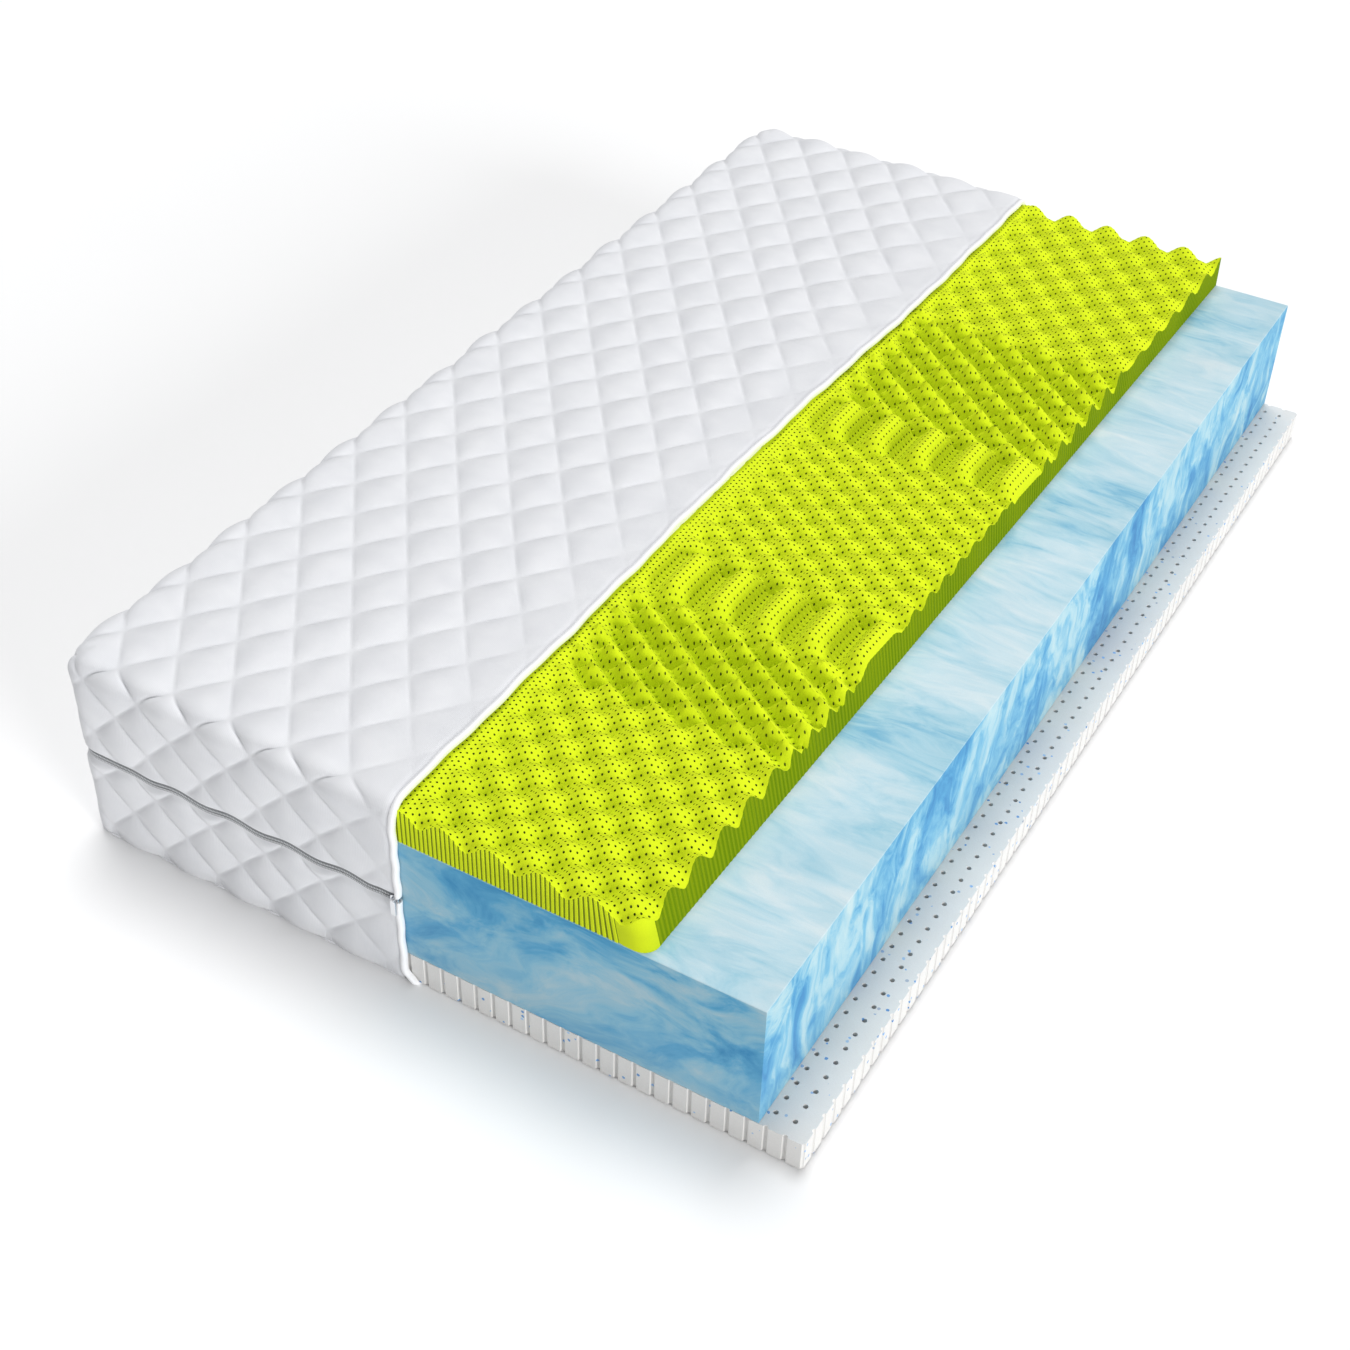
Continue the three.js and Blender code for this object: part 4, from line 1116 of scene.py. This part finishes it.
# How wide a tooth is at shares of its length, from the end that meshes to the end on the tape
TOOTH_PROFILE = ((0.0, 0.62), (0.14, 1.0), (0.80, 0.9), (1.0, 0.5))
TEETH_OUT, TEETH_FROM_MIDDLE = 0.00755, 0.0009
ZIP_STARTS_X = -0.0165

# The tapes are grey, darkened further as painted shade of the recess on each side of the teeth
shaded_tape_finish = knitted("Zip_tape", (0.20, 0.21, 0.22, 1), (0.30, 0.31, 0.325, 1), 1100.0, 1500.0, 0.35,
                      Roughness=0.8, Sheen_Weight=0.2)
teeth_finish, tree, shader, place = new_material("Zip_teeth", Roughness=0.42, Coat_Weight=0.1)
rub = put(tree, "TexNoise", {"Vector": place, "Scale": 220.0, "Detail": 4.0})
moulded = blend_colours(tree, rub.outputs[0], (0.52, 0.53, 0.55, 1), (0.68, 0.69, 0.71, 1))
tree.links.new(moulded, shader.inputs["Base Color"])
tree.links.new(reckon(tree, "MULTIPLY_ADD", rub.outputs[0], 0.3, 0.3), shader.inputs["Roughness"])


def round_the_sides(out, step):
    """Points round the foot, left and head sides, with outward directions and the left side's share."""
    west, foot, head, corner = LEFT - out, FOOT - out, HEAD + out, BLOCK_CORNER + out
    spots, ways, side = [], [], []
    for x in np.arange(ZIP_STARTS_X, west + corner, -step):
        spots.append((x, foot))
        ways.append((0.0, -1.0))
        side.append(0.0)
    turns = max(6, round(corner * math.pi / 2 / step))
    for k in range(turns + 1):
        angle = math.pi / 2 * k / turns
        spots.append((west + corner * (1 - math.sin(angle)), foot + corner * (1 - math.cos(angle))))
        ways.append((-math.sin(angle), -math.cos(angle)))
        side.append(k / turns)
    for y in np.arange(foot + corner + step, head - corner, step):
        spots.append((west, y))
        ways.append((-1.0, 0.0))
        side.append(1.0)
    for k in range(turns + 1):
        angle = math.pi / 2 * k / turns
        spots.append((west + corner * (1 - math.cos(angle)), head - corner * (1 - math.sin(angle))))
        ways.append((-math.cos(angle), math.sin(angle)))
        side.append(1 - k / turns)
    for x in np.arange(west + corner + step, ZIP_STARTS_X + 1e-6, step):
        spots.append((x, head))
        ways.append((0.0, 1.0))
        side.append(0.0)
    return np.array(spots), np.array(ways), np.array(side)


def zip_tape(name, near, far):
    """A strip of tape between two heights from the zip's middle."""
    spots, ways, side = round_the_sides(TAPE_OUT, 0.006)
    middle = ZIP_HEIGHT + zip_line(spots[:, 0], side)
    points, faces = [], []
    levels = [near + (far - near) * share for share in (0.0, 0.3, 0.7, 1.0)]
    count, rows = len(spots), len(levels)
    for skin in (TAPE_HALF_THICK, -TAPE_HALF_THICK):
        for number, level in enumerate(levels):
            # The edge beside the teeth is a little thicker
            shift = skin + (0.0003 if number == 0 and skin > 0 else 0.0)
            spot = spots + ways * shift
            points.append(np.stack([spot[:, 0], spot[:, 1], middle + level], 1))
    for k in range(count - 1):
        for r in range(rows - 1):
            a = r * count + k
            faces.append((a, a + 1, a + 1 + count, a + count))
            b = (rows + r) * count + k
            faces.append((b + count, b + 1 + count, b + 1, b))
        faces.append((k, rows * count + k, rows * count + k + 1, k + 1))
        e, f = (rows - 1) * count + k, (2 * rows - 1) * count + k
        faces.append((e + 1, f + 1, f, e))
    for k in (0, count - 1):
        ring = [r * count + k for r in range(rows)] + [(2 * rows - 1 - r) * count + k for r in range(rows)]
        faces.append(tuple(ring))
    return make_piece(name, np.concatenate(points), faces, [shaded_tape_finish], sharp=50)


def zip_teeth(name, up):
    """A row of moulded teeth along one tape, each a small rounded bar that clasps the tape's edge."""
    spots, ways, side = round_the_sides(TEETH_OUT, TOOTH_PITCH)
    turns = [math.radians(22.5 + 45 * k) for k in range(8)]
    section = [(0.5 * math.cos(turn), 0.5 * math.sin(turn)) for turn in turns]
    points, faces = [], []
    for k in range(1, len(spots) - 1):
        along = spots[k + 1] - spots[k]
        along = along / max(np.hypot(*along), 1e-9)
        middle = ZIP_HEIGHT + float(zip_line(spots[k, 0], side[k]))
        for level, shrink in TOOTH_PROFILE:
            z = middle + up * (TEETH_FROM_MIDDLE + TOOTH_LONG * level)
            for u, v in section:
                spot = spots[k] + along * u * TOOTH_WIDE * shrink + ways[k] * v * TOOTH_THICK * shrink
                points.append((spot[0], spot[1], z))
        base = len(points) - 32
        for r in range(3):
            for s in range(8):
                a, b = base + 8 * r + s, base + 8 * r + (s + 1) % 8
                faces.append((a, b, b + 8, a + 8) if up < 0 else (a + 8, b + 8, b, a))
        ends = (tuple(range(base, base + 8)), tuple(range(base + 31, base + 23, -1)))
        faces.extend(ends if up > 0 else [tuple(reversed(f)) for f in ends])
    return make_piece(name, points, faces, [teeth_finish], sharp=45)


for label, body, up in (("upper", "cover_top", 1), ("lower", "mattress", -1)):
    tape = zip_tape(f"Zip_tape_{label}", TAPE_NEAR * up, TAPE_FAR * up)
    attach(tape, body)
    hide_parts(f"zip_tape_{label}")
    teeth = zip_teeth(f"Zip_teeth_{label}", up)
    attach(teeth, body)
    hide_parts(f"zip_coil_{label}")

# ---------------------------------------------------------------------------------------------
# Slider and pull tab. A die-cast slider closes the teeth; its tab hangs from a pin through two
# small ears. Both are nickel-plated, with painted highlights along their edges.
# ---------------------------------------------------------------------------------------------
metal_finish, tree, shader, place = new_material("Zip_metal", Metallic=1.0, Roughness=0.32)
scuff = put(tree, "TexNoise", {"Vector": place, "Scale": 900.0, "Detail": 5.0})
# Painted highlights: the base colour turns brighter on sharp edges
edge_sharpness = put(tree, "NewGeometry").outputs["Pointiness"]
painted_edge_highlight = ramp(tree, edge_sharpness, (0.48, 0.0), (0.56, 1.0))
dull = blend_colours(tree, scuff.outputs[0], (0.34, 0.35, 0.37, 1), (0.50, 0.51, 0.54, 1))
tree.links.new(reckon(tree, "MULTIPLY_ADD", scuff.outputs[0], 0.25, 0.22), shader.inputs["Roughness"])
nickel = blend_colours(tree, painted_edge_highlight, dull, (0.85, 0.86, 0.88, 1))
finish_surface(tree, shader, nickel, scuff.outputs[0], 0.1, 0.0001)

for node in ("zip_slider", "zip_pull"):
    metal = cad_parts[node]
    metal.data.materials.clear()
    metal.data.materials.append(metal_finish)
    metal.data.polygons.foreach_set("use_smooth", np.ones(len(metal.data.polygons), bool))
    eased = metal.modifiers.new("Eased_edges", "BEVEL")
    eased.width, eased.segments = 0.00025, 2
    eased.limit_method, eased.angle_limit = "ANGLE", math.radians(40)

# ---------------------------------------------------------------------------------------------
# The room: a pale floor in even light from all round, one lamp low on the right and one high behind,
# and the camera.
# ---------------------------------------------------------------------------------------------
floor_finish, tree, shader, place = new_material("Floor", Roughness=0.9)
haze = put(tree, "TexNoise", {"Vector": place, "Scale": 1.5, "Detail": 2.0})
pale = blend_colours(tree, haze.outputs[0], (0.955, 0.955, 0.958, 1), (0.97, 0.97, 0.972, 1))
tree.links.new(pale, shader.inputs["Base Color"])
FLOOR_REACH = 14.0
floor_corners = [(sx * FLOOR_REACH, sy * FLOOR_REACH, 0) for sx, sy in ((-1, -1), (1, -1), (1, 1), (-1, 1))]
floor = make_piece("Floor", floor_corners, [(0, 1, 2, 3)], [floor_finish])

world = bpy.data.worlds.new("Room")
bpy.context.scene.world = world
world.use_nodes = True
even_light = world.node_tree.nodes["Background"]
even_light.inputs["Color"].default_value = (0.99, 0.995, 1.0, 1)
even_light.inputs["Strength"].default_value = 0.37
# A low lamp from the right brings out the quilting; a high one behind throws the shadow towards the foot
LAMPS = (("Right_light", 2.0, 24, (-0.92, 0.28, -0.27)), ("Back_light", 1.80, 30, (0.16, -0.27, -0.95)))
for name, energy, spread, way in LAMPS:
    lamp_data = bpy.data.lights.new(name, "SUN")
    lamp_data.energy, lamp_data.angle = energy, math.radians(spread)
    lamp = bpy.data.objects.new(name, lamp_data)
    lamp.rotation_euler = Vector(way).to_track_quat("-Z", "Y").to_euler()
    bpy.context.scene.collection.objects.link(lamp)
bpy.context.scene.view_settings.view_transform = "Standard"

# The camera stands beyond the foot, a little to the right and well above, and looks down the mattress
CAMERA_AT = (1.2098, -2.4298, 2.1088)
LOOKS_ALONG, RIGHT_HAND = (-0.38092, 0.66588, -0.64148), (0.85896, 0.51161, 0.02101)
camera_data = bpy.data.cameras.new("Camera")
camera_data.sensor_width, camera_data.lens = 36.0, 54.30
camera = bpy.data.objects.new("Camera", camera_data)
bpy.context.scene.collection.objects.link(camera)
ahead, right = Vector(LOOKS_ALONG).normalized(), Vector(RIGHT_HAND)
right = (right - ahead * right.dot(ahead)).normalized()
above = right.cross(ahead)
turn = Matrix((right, above, -ahead)).transposed().to_4x4()
camera.matrix_world = Matrix.Translation(CAMERA_AT) @ turn
bpy.context.scene.camera = camera
